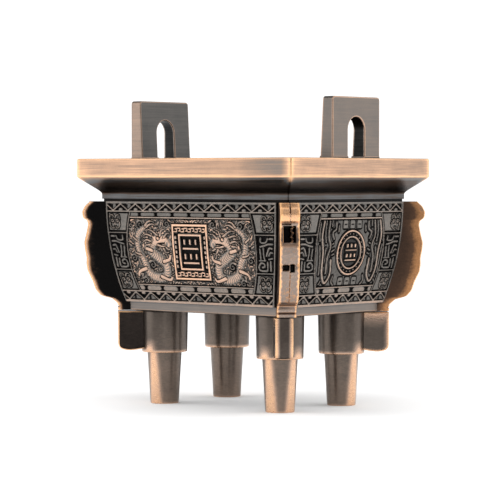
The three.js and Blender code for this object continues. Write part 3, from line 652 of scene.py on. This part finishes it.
def rounded_ring(half_x, half_y, radius):
    """Plan outline and each point's share of the corner's tone; below zero is darker."""
    points, shares = [], []

    def put(cx, cy, angle, along, share):
        points.append((cx + radius * cos(angle) - along * sin(angle),
                       cy + radius * sin(angle) + along * cos(angle)))
        shares.append(share)

    for quarter, (sx, sy) in enumerate(((1, 1), (-1, 1), (-1, -1), (1, -1))):
        cx, cy = sx * (half_x - radius), sy * (half_y - radius)
        room = (half_x if quarter % 2 else half_y) - radius
        after = (half_y if quarter % 2 else half_x) - radius
        a0 = quarter * pi / 2
        a1 = a0 + pi / 2
        # A negative share makes a face darker for a stretch beside each corner, the long faces much more
        # than the short ones
        worn = -0.62 if quarter % 2 else -0.12
        beside = ((30.0, 0.0), (14.0, worn), (5.0, worn), (2.0, 0.1), (0.6, 0.7))
        for gap, share in beside:
            put(cx, cy, a0, -min(gap, room * gap / 32), share)
        for step in range(6):
            put(cx, cy, a0 + step / 5 * pi / 2, 0.0, 1.0)
        for gap, share in ((0.6, 0.7), (2.0, 0.3), (8.0, 0.1)):
            put(cx, cy, a1, min(gap, after * 0.3), share)
    return points, shares


# Rim edges: in from the outline, corner radius, up from bottom or top, tone, tone at the corners
RIM_LOWER_EDGE = (
    (0.45, 0.6, -0.3, 0.55, 0.95), (0.1, 0.7, 0.1, 0.96, 1.0), (0.0, 0.7, 0.5, 0.92, 1.0),
    (0.0, 0.7, 1.6, 0.79, 1.0),
)
RIM_UPPER_EDGE = (
    (0.0, 0.7, -2.4, 0.76, 0.98), (0.0, 0.7, -0.7, 0.82, 1.0), (0.12, 0.7, -0.25, 0.94, 1.0),
    (0.5, 0.6, 0.0, 0.92, 1.0), (1.4, 0.6, 0.0, 0.8, 0.9),
)
# Chamfer: share of the way down, tone, tone at the corners; the tone falls down the chamfer as painted
# shade on its downward face, and the bright corner tones are a painted glint
CHAMFER_SHADE_LEVELS = ((0.8, 0.16, 0.2), (0.55, 0.27, 0.45), (0.3, 0.35, 0.92), (0.12, 0.66, 1.0))
BOWL_LEVELS = (104.0, 98.0, 92.0, 84.0, 76.0, 70.0, 64.0, 58.0, 53.0, 50.0)


def vessel_shell(material):
    """Rim, neck, wall backs, base band and bowl, stacked as rounded rectangles."""
    levels = []

    def level(half_x, half_y, radius, z, tone, corner=None):
        levels.append((half_x, half_y, radius, z, tone, tone if corner is None else corner))

    def rim(at, radius, z, tone, corner=None):
        level(HALF_LENGTH - at, HALF_WIDTH - at, radius, z, tone, corner)

    def wall(back, radius, z, tone, corner=None):
        level(WALL_HALF_X - back, WALL_HALF_Y - back, radius, z, tone, corner)

    base = float(inset(BASE_TOP)) + BASE_STEP
    wall(base + 6, 1.0, LEG_HEIGHT, 0.35)
    wall(base + 0.4, 1.0, LEG_HEIGHT, 0.4)
    wall(base, 1.0, LEG_HEIGHT + 0.35, 0.74)
    wall(base, 1.0, LEG_HEIGHT + 0.9, 0.55)
    wall(base, 1.0, BASE_TOP - 0.8, 0.52)
    wall(base, 1.0, BASE_TOP, 0.3)
    for z in np.linspace(BASE_TOP + 0.02, WALL_TOP - 0.02, 14):
        wall(RELIEF + 0.5 + float(inset(z)), 1.0, z, GROUND_TONE)
    # The groove under the neck is dark: patina in the groove and painted shadow
    rim(NECK_INSET + GROOVE_DEPTH, 0.5, WALL_TOP, GROUND_TONE)
    rim(NECK_INSET + GROOVE_DEPTH, 0.5, NECK_BOTTOM, 0.02)
    rim(NECK_INSET + 0.1, 0.5, NECK_BOTTOM, 0.3)
    rim(NECK_INSET, 0.5, NECK_BOTTOM + 0.15, 0.38)
    rim(NECK_INSET, 0.5, NECK_TOP - 0.3, 0.37)
    # The cove under the chamfer darkens towards its top as painted shade on its downward face
    for t in (0.0, 0.2, 0.4, 0.6, 0.8, 1.0):
        bend = RIM_BOTTOM - CHAMFER_DROP / CHAMFER_INSET * NECK_INSET
        at = (1 - t ** 2) * NECK_INSET + t ** 2 * CHAMFER_INSET
        z = (1 - t) ** 2 * NECK_TOP + 2 * t * (1 - t) * bend + t ** 2 * (RIM_BOTTOM - CHAMFER_DROP)
        rim(at, 0.5, z, 0.34 - 0.24 * min(t * 2, 1))
    for share, tone, corner in CHAMFER_SHADE_LEVELS:
        rim(CHAMFER_INSET * share, 0.6, RIM_BOTTOM - CHAMFER_DROP * share, tone, corner)
    for edge, start in ((RIM_LOWER_EDGE, RIM_BOTTOM), (RIM_UPPER_EDGE, RIM_TOP)):
        for at, radius, up, tone, corner in edge:
            rim(at, radius, start + up, tone, corner)
    mouth_x, mouth_y = HALF_LENGTH - MOUTH_MARGIN, HALF_WIDTH - MOUTH_MARGIN
    rim(MOUTH_MARGIN - 1.3, 6.6, RIM_TOP, 0.76)
    rim(MOUTH_MARGIN - 0.4, 6.2, RIM_TOP, 0.9)
    rim(MOUTH_MARGIN - 0.1, 6.0, RIM_TOP - 0.3, 0.86)
    rim(MOUTH_MARGIN, 6.0, RIM_TOP - 1.2, 0.5)
    # The bowl's sides darken towards its floor, and the floor is darker at its edges than in the middle:
    # painted shade inside the bowl
    for z in BOWL_LEVELS:
        follow = WALL_THICKNESS + float(inset(z))
        half_x, half_y = min(mouth_x, WALL_HALF_X - follow), min(mouth_y, WALL_HALF_Y - follow)
        level(half_x, half_y, 5.8, z, 0.1 + 0.006 * (z - BOWL_LEVELS[-1]))
    follow = WALL_THICKNESS + float(inset(BOWL_FLOOR))
    wall(follow + 0.6, 5.4, BOWL_FLOOR + 0.5, 0.1)
    wall(follow + 2, 4.5, BOWL_FLOOR, 0.14)
    level(24, 18, 4, BOWL_FLOOR, 0.3)

    points, tone = [], []
    for half_x, half_y, radius, z, value, corner in levels:
        ring, shares = rounded_ring(half_x, half_y, radius)
        points += [(x, y, z) for x, y in ring]
        tone += [value + (corner - value) * share for share in shares]
    count = len(ring)
    faces = [list(range(count))[::-1]] + ring_faces(len(levels), count)
    faces.append(list(range((len(levels) - 1) * count, len(levels) * count)))
    return build("vessel_shell", points, faces, tone, material, 32, "vessel_body")


# Corner flanges: [reach beyond the wall's top corner, drop below the wall's top]

FLANGE_EDGE = np.array([
    (1.8, 0.0), (4.3, 2.3), (5.5, 4.8), (5.3, 6.8), (5.0, 7.9), (3.2, 8.8), (2.7, 10.8),
    (3.5, 15.0), (4.5, 19.1), (4.2, 22.4), (3.4, 26.6), (3.5, 29.2), (3.0, 32.5), (0.6, 37.4),
    (-0.6, 41.1), (-3.2, 44.1), (-8.1, 45.2), (-11.0, 47.6), (-11.3, 50.8),
])
FLANGE_ROWS = 205
FLANGE_ROOT = -7.0
SIDE_GAPS = (7.5, 4.6, 2.2, 0.6)
# Pits, joints and slits in the edge of a flange: from, to across; from, to down; depth, softness
UPPER_PIT = (-2.7, 2.6, 10.2, 17.3)
EDGE_CUTS = (
    (-2.9, -0.5, 27.3, 29.4, 1.5, 0.7), (0.4, 2.0, 27.0, 30.1, 1.7, 0.6),
    (-5, 5, 45.2, 45.7, 0.3, 0.35), (-5, 5, 48.6, 49.4, 0.42, 0.35),
    (-0.15, 0.3, 1.2, 4.6, 0.5, 0.3), (-3.4, 0.6, 9.3, 9.6, 0.5, 0.3),
)


def flange(name, sx, sy, seed, side_tones, material):
    """A plate in the diagonal plane, with pits and a rough seam in its outer edge."""
    rng = np.random.default_rng(seed)
    drops = np.linspace(0, WALL_TOP - LEG_HEIGHT, FLANGE_ROWS)
    reach = np.interp(drops, FLANGE_EDGE[:, 1], FLANGE_EDGE[:, 0])
    reach = np.convolve(np.pad(reach, 2, mode="edge"), np.ones(5) / 5, mode="valid")
    z = WALL_TOP - drops
    half = FLANGE_THICKNESS / 2
    corner = 0.3 * np.cos(np.linspace(0.4, 1.57, 3))
    across = np.concatenate([[-half], -half + 0.3 - corner, np.linspace(-half + 0.6, half - 0.6, 26),
                             half - 0.3 + corner[::-1], [half]])
    t, zz = np.meshgrid(across, z)
    drop = WALL_TOP - zz
    r = np.repeat(reach[:, None], len(across), 1)
    rounding = np.clip(np.abs(t) - (half - 0.5), 0, 0.5)
    r = r - (0.5 - np.sqrt(np.clip(0.25 - rounding ** 2, 0, None))) * 0.9
    ragged = 0.45 * np.sin(zz * 2.3 + seed) + 0.3 * np.sin(zz * 5.1)
    worn = 1.15 + 0.35 * np.sin(zz * 1.7 + seed) * np.sin(zz * 0.9)
    tone = 0.65 + 0.35 * smooth_step((np.abs(t) - half + worn) / 0.9)

    def pocket(t0, t1, d0, d1, depth, softness=0.35):
        gap = np.maximum(np.maximum(t0 - t, t - t1), np.maximum(d0 - drop, drop - d1))
        return depth * smooth_step(0.5 - gap / softness)

    first = pocket(*UPPER_PIT, 2.6)
    flash = np.clip(1 - np.abs(t - 1.1 - ragged * 0.7) / 1.2, 0, 1) * (1.9 + 0.6 * np.sin(zz * 3.1))
    first = np.maximum(first - flash * (first > 1.2), 0)
    seam_rows = ((drop < 9.6) | (drop > 30)) * (drop < 44)
    seam = 0.22 * np.exp(-((t - 0.1 - ragged * 0.15) / 0.16) ** 2) * seam_rows
    holes = first + sum(pocket(*cut) for cut in EDGE_CUTS)
    r = r - holes - seam
    tone = tone + 0.26 * smooth_step((9.4 - drop) / 1.6) + 0.1 * pocket(-5, 5, 17.4, 19.4, 1.0, 1.5)
    tone = tone - 0.95 * smooth_step(holes / 0.9) - 0.38 * (seam > 0.14)
    tone = tone + 0.95 * smooth_step(flash - 0.2) * smooth_step(pocket(*UPPER_PIT, 1.0))
    tone = tone + 0.02 * rng.standard_normal(tone.shape)

    root = FLANGE_ROOT - inset(z) * sqrt(2)

    def side(values, place):
        """Columns of a flat side from its root outwards: reach, tone and place across."""
        reaches = [root] + [np.maximum(reach - gap, root + 0.1) for gap in SIDE_GAPS]
        return [(at, np.full_like(z, value), np.full_like(z, place)) for at, value in zip(reaches, values)]

    strips = side(side_tones[0], -half) + list(zip(r.T, tone.T, t.T)) + side(side_tones[1], half)[::-1]
    all_r, all_tone, all_t = (np.stack(column, 1) for column in zip(*strips))
    rows, cols = all_r.shape
    x, y = at_corner(all_r, all_t, sx, sy, WALL_HALF_X, WALL_HALF_Y)
    points = np.stack([x, y, np.repeat(z[:, None], cols, 1)], -1).reshape(-1, 3)
    faces = [face[::-1] for face in grid_faces(rows, cols)]
    faces.append(list(range(cols)))
    faces.append(list(range((rows - 1) * cols, rows * cols))[::-1])
    return build(name, points, faces, all_tone.ravel(), material, 40, "vessel_body")


# Plates with rounded edges, for handles and fins

def offset(points, distance):
    """Outline moved inwards; points run anticlockwise."""
    points = np.asarray(points, float)
    before, after = np.roll(points, 1, 0), np.roll(points, -1, 0)
    d0 = (points - before) / np.linalg.norm(points - before, axis=1)[:, None]
    d1 = (after - points) / np.linalg.norm(after - points, axis=1)[:, None]
    n0 = np.stack([-d0[:, 1], d0[:, 0]], 1)
    n1 = np.stack([-d1[:, 1], d1[:, 0]], 1)
    middle = n0 + n1
    middle = middle / np.maximum((middle * n0).sum(1), 0.35)[:, None]
    return points + middle * distance


def plate(outline, thickness, bevel, tones, margin=1.9, worn=1.1, faded=()):
    """Points (along, height, depth), faces and tones; tones are near face, edge, side, far face.

    Each faded pair is a smaller copy of the outline inside a face and its share of the edge's wear.
    """
    near_tone, edge_tone, side_tone, far_tone = tones
    outline = np.asarray(outline, float)
    middle = outline.mean(0)

    def face(tone):
        """Rings of a flat face from the inside out."""
        wear = edge_tone - tone if tone > 0.3 else 0.0
        rings = [(middle + (outline - middle) * size, tone + wear * share) for size, share in faded]
        last = tone + wear * (0.8 if faded else 0.0)
        return rings + [(offset(outline, margin), last), (offset(outline, margin / 2), last)]

    edge = [
        (bevel + 0.05, 0.0, edge_tone), (bevel * 0.48, bevel * 0.15, edge_tone),
        (bevel * 0.11, bevel * 0.55, edge_tone), (0.0, bevel, edge_tone),
        (0.0, bevel + worn / 3, edge_tone - 0.1), (0.0, bevel + worn, side_tone),
    ]
    stack = [(ring, 0.0, tone) for ring, tone in face(near_tone)]
    stack += [(offset(outline, gap), depth, tone) for gap, depth, tone in edge]
    stack += [(offset(outline, gap), thickness - depth, tone) for gap, depth, tone in edge[::-1]]
    stack += [(ring, thickness, tone) for ring, tone in face(far_tone)[::-1]]
    points, values = [], []
    for ring, depth, tone in stack:
        points += [(p[0], p[1], depth) for p in ring]
        values += [tone] * len(ring)
    count = len(outline)
    faces = [list(range(count))[::-1]] + ring_faces(len(stack), count)
    faces.append(list(range((len(stack) - 1) * count, len(stack) * count)))
    return np.array(points), faces, np.array(values, float)


def arc(cx, cz, radius, a0, a1, steps):
    angles = np.linspace(a0, a1, steps + 1)
    return [(cx + radius * cos(a), cz + radius * sin(a)) for a in angles]


HANDLE_HALF = 17.1
HANDLE_HEIGHT = 27.6
HANDLE_THICKNESS = 7.3
HANDLE_FACE = HALF_LENGTH - 3.6
SLOT_HALF = 6.1
SLOT_SPRING = 12.5
HANDLE_CORNER = 1.5
HANDLE_LEAN = 1.5
COLLAR_HEIGHT = 0.9
COLLAR_PROUD = 0.3
COLLAR_LIFT = 0.04


def handle(name, sx, tones, material):
    """Upright loop whose inner face leans outwards, with a thin collar at each foot."""
    corner = HANDLE_CORNER
    outline = [(-HANDLE_HALF, -1.5), (-SLOT_HALF, -1.5)]
    outline += arc(0, SLOT_SPRING, SLOT_HALF, pi, 0, 28)
    outline += [(SLOT_HALF, -1.5), (HANDLE_HALF, -1.5)]
    outline += arc(HANDLE_HALF - corner, HANDLE_HEIGHT - corner, corner, 0, pi / 2, 5)
    outline += arc(corner - HANDLE_HALF, HANDLE_HEIGHT - corner, corner, pi / 2, pi, 5)
    points, faces, values = plate(outline, HANDLE_THICKNESS, 0.4, tones, margin=1.2, worn=0.7)
    in_slot = (np.abs(points[:, 0]) < SLOT_HALF + 0.3) & (points[:, 1] < SLOT_SPRING + SLOT_HALF + 0.3)
    deep = (points[:, 2] > 1.0) & (points[:, 2] < HANDLE_THICKNESS - 1.0)
    values[in_slot & deep] = 0.12
    share = points[:, 2] / HANDLE_THICKNESS
    points[:, 2] -= share * (HANDLE_LEAN / HANDLE_HEIGHT) * np.clip(points[:, 1], 0, None)
    all_points, all_faces, all_values = points.tolist(), list(faces), list(values)
    bead_tones = (tones[0], 0.8, tones[2], tones[3])
    for side in (-1, 1):
        x0, x1 = sorted((side * (SLOT_HALF - COLLAR_PROUD), side * (HANDLE_HALF + COLLAR_LIFT)))
        top = COLLAR_HEIGHT
        bead = [(x0, -0.4), (x1, -0.4), (x1, top - 0.2), (x1 - 0.2, top), (x0 + 0.2, top), (x0, top - 0.2)]
        depth = HANDLE_THICKNESS + COLLAR_PROUD + COLLAR_LIFT
        points, faces, values = plate(bead, depth, 0.15, bead_tones, margin=0.6)
        points[:, 2] -= COLLAR_LIFT
        all_faces += [[i + len(all_points) for i in face] for face in faces]
        all_points += points.tolist()
        all_values += list(values)
    local = np.array(all_points)
    local[:, 1] = np.maximum(local[:, 1], 0)
    world = np.stack([sx * (HANDLE_FACE - local[:, 2]), sx * local[:, 0], RIM_TOP + local[:, 1]], 1)
    return build(name + "_dressed", world, all_faces, all_values, material, 38, name)


LEG_X = 35.21
LEG_Y = 22.4
LEG_SIDES = 72
LEG_STEP = 24.2
# The flanks of a leg's foot, this many degrees off its diagonal, are painted brighter, in bands that
# narrow upwards
FLANK_ANGLE = 46
# Outline of a leg: [radius, height, tone]
LEG_PROFILE = [
    (0.0, 0.0, 0.3), (5.4, 0.0, 0.4), (6.25, 0.0, 0.85), (6.55, 0.12, 0.9), (6.66, 0.5, 0.7),
    (6.75, 1.4, 0.56), (7.0, 6.0, 0.54), (7.35, 12.0, 0.52), (7.75, 19.0, 0.52), (8.05, 23.8, 0.5),
    (8.08, LEG_STEP, 0.2), (9.6, LEG_STEP, 0.3), (10.3, LEG_STEP, 0.8), (10.58, 24.35, 0.92),
    (10.66, 24.75, 0.8), (10.7, 25.8, 0.5), (10.8, 31.0, 0.47), (10.93, 38.0, 0.45),
    (11.02, 42.8, 0.45), (11.0, 43.5, 0.4), (10.8, 43.8, 0.3), (9.0, LEG_HEIGHT, 0.2),
    (0.0, LEG_HEIGHT, 0.2),
]
FIN_ROOT = 2.0
FIN_REACH = 21.8
FIN_THICKNESS = 8.0
FIN_UNDERSIDE = [
    (FIN_ROOT, 26.6), (9.0, 25.9), (13.8, 25.2), (16.6, 25.0), (19.0, 25.3), (20.6, 25.9), (21.5, 27.0),
    (FIN_REACH, 28.3),
]
# Smaller copies of the fin inside its face, and their shares of the edge's wear
FIN_FADE = ((0.5, 0.05), (0.78, 0.45))


def leg(name, sx, sy, tones, material):
    """Stepped round post with a flat fin that runs out to the corner."""
    points, values = [], []
    for radius, z, tone in LEG_PROFILE:
        for side in range(LEG_SIDES):
            angle = 2 * pi * side / LEG_SIDES
            points.append((radius * cos(angle), radius * sin(angle), z))
            side_on = abs(abs((degrees(angle) + 180) % 360 - 180) - FLANK_ANGLE)
            wear = smooth_step((42 - 16 * z / LEG_STEP - side_on) / 22) if z < 27 else 0.0
            values.append(tone + (0.9 - tone) * float(wear))
    faces = ring_faces(len(LEG_PROFILE), LEG_SIDES)
    top = LEG_HEIGHT - 0.5
    under = spline(FIN_UNDERSIDE, 4)
    end = [(FIN_REACH, z) for z in (34.0, top - 3, top)]
    outline = [(FIN_ROOT, top)] + [tuple(p) for p in under] + end
    fin_points, fin_faces, fin_values = plate(
        outline, FIN_THICKNESS, 0.5, tones, margin=1.0, worn=1.8, faded=FIN_FADE)
    faces += [[i + len(points) for i in face][::-1] for face in fin_faces]
    points += [(p[0], p[2] - FIN_THICKNESS / 2, p[1]) for p in fin_points]
    values += list(fin_values)
    out, across, z = np.array(points).T
    x, y = at_corner(out, across, sx, sy, LEG_X, LEG_Y)
    return build(name + "_dressed", np.stack([x, y, z], 1), faces, values, material, 38, name)


# Materials

STAIN_SCALE = 95.0
GRAIN_SCALE = 1500.0
BUMP_DEPTH = 0.0006


def metal(name, stops, brush, bump, roughness, noise):
    """Plated metal coloured by the tone of the mesh, which is rubbing and in places painted shade and
    glint, with brushing, stains and grain.
    """
    material = bpy.data.materials.new(name)
    material.use_nodes = True
    tree = material.node_tree
    tree.nodes.clear()
    new, link = tree.nodes.new, tree.links.new

    def made(kind, values):
        node = new(kind)
        for socket, value in values.items():
            node.inputs[socket].default_value = value
        return node

    out = new("ShaderNodeOutputMaterial")
    shader = new("ShaderNodeBsdfPrincipled")
    link(shader.outputs[0], out.inputs[0])
    tone = new("ShaderNodeAttribute")
    tone.attribute_name = "tone"
    place = new("ShaderNodeTexCoord")
    stretch = made("ShaderNodeMapping", {"Scale": brush})
    link(place.outputs["Object"], stretch.inputs["Vector"])

    def pattern(scale, detail, source):
        node = made("ShaderNodeTexNoise", {"Scale": scale, "Detail": detail})
        link(source, node.inputs["Vector"])
        return node.outputs["Fac"]

    def maths(kind, a, b):
        node = new("ShaderNodeMath")
        node.operation = kind
        for socket, value in zip(node.inputs, (a, b)):
            if isinstance(value, (int, float)):
                socket.default_value = value
            else:
                link(value, socket)
        return node.outputs[0]

    brushed = pattern(1.0, 4.0, stretch.outputs[0])
    stained = pattern(STAIN_SCALE, 5.0, place.outputs["Object"])
    grainy = pattern(GRAIN_SCALE, 3.0, place.outputs["Object"])
    total = tone.outputs["Fac"]
    for source, amount in zip((brushed, stained, grainy), noise):
        total = maths("ADD", total, maths("MULTIPLY", maths("SUBTRACT", source, 0.5), amount))
    ramp = new("ShaderNodeValToRGB")
    elements = ramp.color_ramp.elements
    elements[0].position, elements[1].position = stops[0][0], stops[-1][0]
    elements[0].color, elements[1].color = (*stops[0][1], 1), (*stops[-1][1], 1)
    for position, colour in stops[1:-1]:
        elements.new(position).color = (*colour, 1)
    link(total, ramp.inputs["Fac"])
    link(ramp.outputs["Color"], shader.inputs["Base Color"])
    # Rubbed places are smoother, and the brightest a little less metallic
    for socket, start, low, high in (
            ("Roughness", 0.0, roughness[1], roughness[0]), ("Metallic", 0.75, 0.93, 0.6)):
        spread = made("ShaderNodeMapRange", {"From Min": start, "To Min": low, "To Max": high})
        link(total, spread.inputs["Value"])
        link(spread.outputs[0], shader.inputs[socket])
    raised = made("ShaderNodeBump", {"Strength": bump, "Distance": BUMP_DEPTH})
    height = maths("ADD", maths("MULTIPLY", brushed, 0.7), maths("MULTIPLY", grainy, 0.3))
    link(height, raised.inputs["Height"])
    link(raised.outputs[0], shader.inputs["Normal"])
    return material


BLACK = (0.005, 0.0045, 0.0045)
TAN = (0.62, 0.39, 0.27)
COPPER = (0.95, 0.56, 0.30)
relief_metal = metal("relief_metal", [
    (0.05, BLACK), (0.3, (0.045, 0.042, 0.04)), (0.55, (0.16, 0.148, 0.135)), (0.7, (0.36, 0.28, 0.23)),
    (0.85, (0.66, 0.42, 0.3)), (1.0, COPPER),
], brush=(400, 400, 900), bump=0.06, roughness=(0.34, 0.55), noise=(0.12, 0.14, 0.16))
rim_metal = metal("rim_metal", [
    (0.03, BLACK), (0.3, (0.07, 0.045, 0.032)), (0.38, (0.09, 0.093, 0.096)), (0.6, (0.19, 0.16, 0.14)),
    (0.72, (0.32, 0.215, 0.155)), (0.84, (0.54, 0.33, 0.215)), (1.0, COPPER),
], brush=(45, 45, 2400), bump=0.1, roughness=(0.28, 0.3), noise=(0.3, 0.12, 0.06))
flange_metal = metal("flange_metal", [
    (0.1, BLACK), (0.2, (0.05, 0.032, 0.024)), (0.42, (0.13, 0.072, 0.045)), (0.56, (0.62, 0.3, 0.13)),
    (0.64, (0.25, 0.21, 0.185)), (0.78, TAN), (1.0, (1.0, 0.55, 0.26)),
], brush=(500, 500, 900), bump=0.12, roughness=(0.25, 0.42), noise=(0.14, 0.16, 0.08))
leg_finish = metal("leg_finish", [
    (0.05, BLACK), (0.3, (0.05, 0.038, 0.032)), (0.48, (0.12, 0.098, 0.083)), (0.7, (0.33, 0.235, 0.18)),
    (0.85, TAN), (1.0, COPPER),
], brush=(500, 500, 1400), bump=0.1, roughness=(0.24, 0.34), noise=(0.12, 0.14, 0.06))
handle_finish = metal("handle_finish", [
    (0.05, BLACK), (0.3, (0.055, 0.056, 0.055)), (0.5, (0.14, 0.128, 0.118)), (0.66, (0.23, 0.18, 0.148)),
    (0.85, (0.5, 0.33, 0.24)), (1.0, COPPER),
], brush=(45, 45, 1800), bump=0.14, roughness=(0.28, 0.42), noise=(0.14, 0.12, 0.06))

# Pieces

vessel_shell(rim_metal)
long_relief = long_wall(7)
short_relief = short_wall(11)
for wall_name, relief, depth_half, quarter in (
        ("wall_front", long_relief, WALL_HALF_Y, 0), ("wall_right", short_relief, WALL_HALF_X, 1),
        ("wall_back", long_relief, WALL_HALF_Y, 2), ("wall_left", short_relief, WALL_HALF_X, 3)):
    wall_mesh(wall_name, relief, depth_half, quarter, relief_metal)

# Tones over the side of a flange, from its root outwards: painted shade on one side and painted light on
# the other, both darker at the root as painted shadow against the wall; the shaded side's bright last tone
# is its rubbed edge
SHADED_SIDE = (0.04, 0.05, 0.06, 0.12, 0.95)
LIT_SIDE = (0.22, 0.28, 0.42, 0.54, 0.57)
# Corners: name, signs of X and Y, tones of the two sides of the flange, one side painted lit and the other
# painted in shade
CORNERS = [
    ("front_right", 1, -1, (LIT_SIDE, SHADED_SIDE)),
    ("front_left", -1, -1, (LIT_SIDE, SHADED_SIDE)),
    ("back_right", 1, 1, (LIT_SIDE, SHADED_SIDE)),
    ("back_left", -1, 1, (SHADED_SIDE, LIT_SIDE)),
]
for seed, (corner_name, sx, sy, side_tones) in enumerate(CORNERS, 3):
    flange("flange_" + corner_name, sx, sy, seed, side_tones, flange_metal)
    shaded_first = side_tones[0] is SHADED_SIDE
    # The fin's face on the flange's shaded side is painted dark as shade, and the other face is lighter
    fin_tones = (0.15 if shaded_first else 0.42, 0.97, 0.36, 0.42 if shaded_first else 0.15)
    leg("leg_" + corner_name, sx, sy, fin_tones, leg_finish)
handle("handle_right", 1, (0.56, 0.84, 0.54, 0.42), handle_finish)
handle("handle_left", -1, (0.64, 0.76, 0.7, 0.4), handle_finish)

# Floor and light

FLOOR_HALF = 0.6
floor_mesh = bpy.data.meshes.new("floor")
corners = [(x * FLOOR_HALF, y * FLOOR_HALF, 0) for x, y in ((-1, -1), (1, -1), (1, 1), (-1, 1))]
floor_mesh.from_pydata(corners, [], [(0, 1, 2, 3)])
floor = show("floor", floor_mesh)
paper = bpy.data.materials.new("paper")
paper.use_nodes = True
paper_shader = paper.node_tree.nodes["Principled BSDF"]
paper_shader.inputs["Base Color"].default_value = (0.92, 0.92, 0.92, 1)
paper_shader.inputs["Roughness"].default_value = 0.9
floor_mesh.materials.append(paper)

# White studio; what the metal mirrors is dimmer, so that its dark finish shows
ROOM_LIGHT = 1.15
MIRRORED_LIGHT = 0.18
world = bpy.data.worlds.new("studio")
bpy.context.scene.world = world
world.use_nodes = True
tree = world.node_tree
tree.nodes.clear()
world_out = tree.nodes.new("ShaderNodeOutputWorld")
mix = tree.nodes.new("ShaderNodeMixShader")
ray = tree.nodes.new("ShaderNodeLightPath")
for index, strength in ((1, ROOM_LIGHT), (2, MIRRORED_LIGHT)):
    background = tree.nodes.new("ShaderNodeBackground")
    background.inputs["Color"].default_value = (1, 1, 1, 1)
    background.inputs["Strength"].default_value = strength
    tree.links.new(background.outputs[0], mix.inputs[index])
tree.links.new(ray.outputs["Is Glossy Ray"], mix.inputs[0])
tree.links.new(mix.outputs[0], world_out.inputs["Surface"])
bpy.context.scene.view_settings.view_transform = "Standard"

LIT_HEIGHT = 0.07


def aim(thing, azimuth, elevation, distance, target):
    """Stand a lamp or the camera off its target and turn it there."""
    level_share = cos(elevation)
    back = [sin(azimuth) * level_share, -cos(azimuth) * level_share, sin(elevation)]
    thing.location = (target + distance * np.array(back)).tolist()
    thing.rotation_euler = (pi / 2 - elevation, 0, azimuth)


def softbox(name, azimuth, elevation, distance, size, power):
    """A square lamp turned to the middle of the vessel."""
    light = bpy.data.lights.new(name, "AREA")
    light.shape = "SQUARE"
    light.size = size
    light.energy = power
    lamp = show(name, light)
    lamp.visible_camera = False
    target = np.array([0, 0, LIT_HEIGHT])
    aim(lamp, radians(azimuth), radians(elevation), distance, target)


# Lamps: name, azimuth, elevation, distance, size, power
for lamp_values in (
        ("left_light", -52, 14, 0.75, 0.85, 3.4), ("right_light", 132, 14, 0.75, 0.85, 3.0),
        ("top_light", 40, 80, 1.0, 0.9, 2.0), ("front_light", 42, 5, 0.9, 0.12, 0.22)):
    softbox(*lamp_values)

# Camera fitted to the photograph
AZIMUTH = radians(40.35)
PITCH = radians(1.68)
DISTANCE = 1.1412
TARGET_HEIGHT = 0.07198
TARGET_SHIFT = 0.00118
SENSOR_WIDTH = 36.0
FOCAL_PIXELS = 2442.45
PHOTO_PIXELS = 500
camera_data = bpy.data.cameras.new("camera")
camera_data.sensor_width = SENSOR_WIDTH
camera_data.lens = FOCAL_PIXELS / PHOTO_PIXELS * SENSOR_WIDTH
camera_data.clip_start = 0.05
camera_data.clip_end = 20
camera = show("camera", camera_data)
right = np.array([cos(AZIMUTH), sin(AZIMUTH), 0.0])
target = np.array([0, 0, TARGET_HEIGHT]) - TARGET_SHIFT * right
aim(camera, AZIMUTH, PITCH, DISTANCE, target)
bpy.context.scene.camera = camera
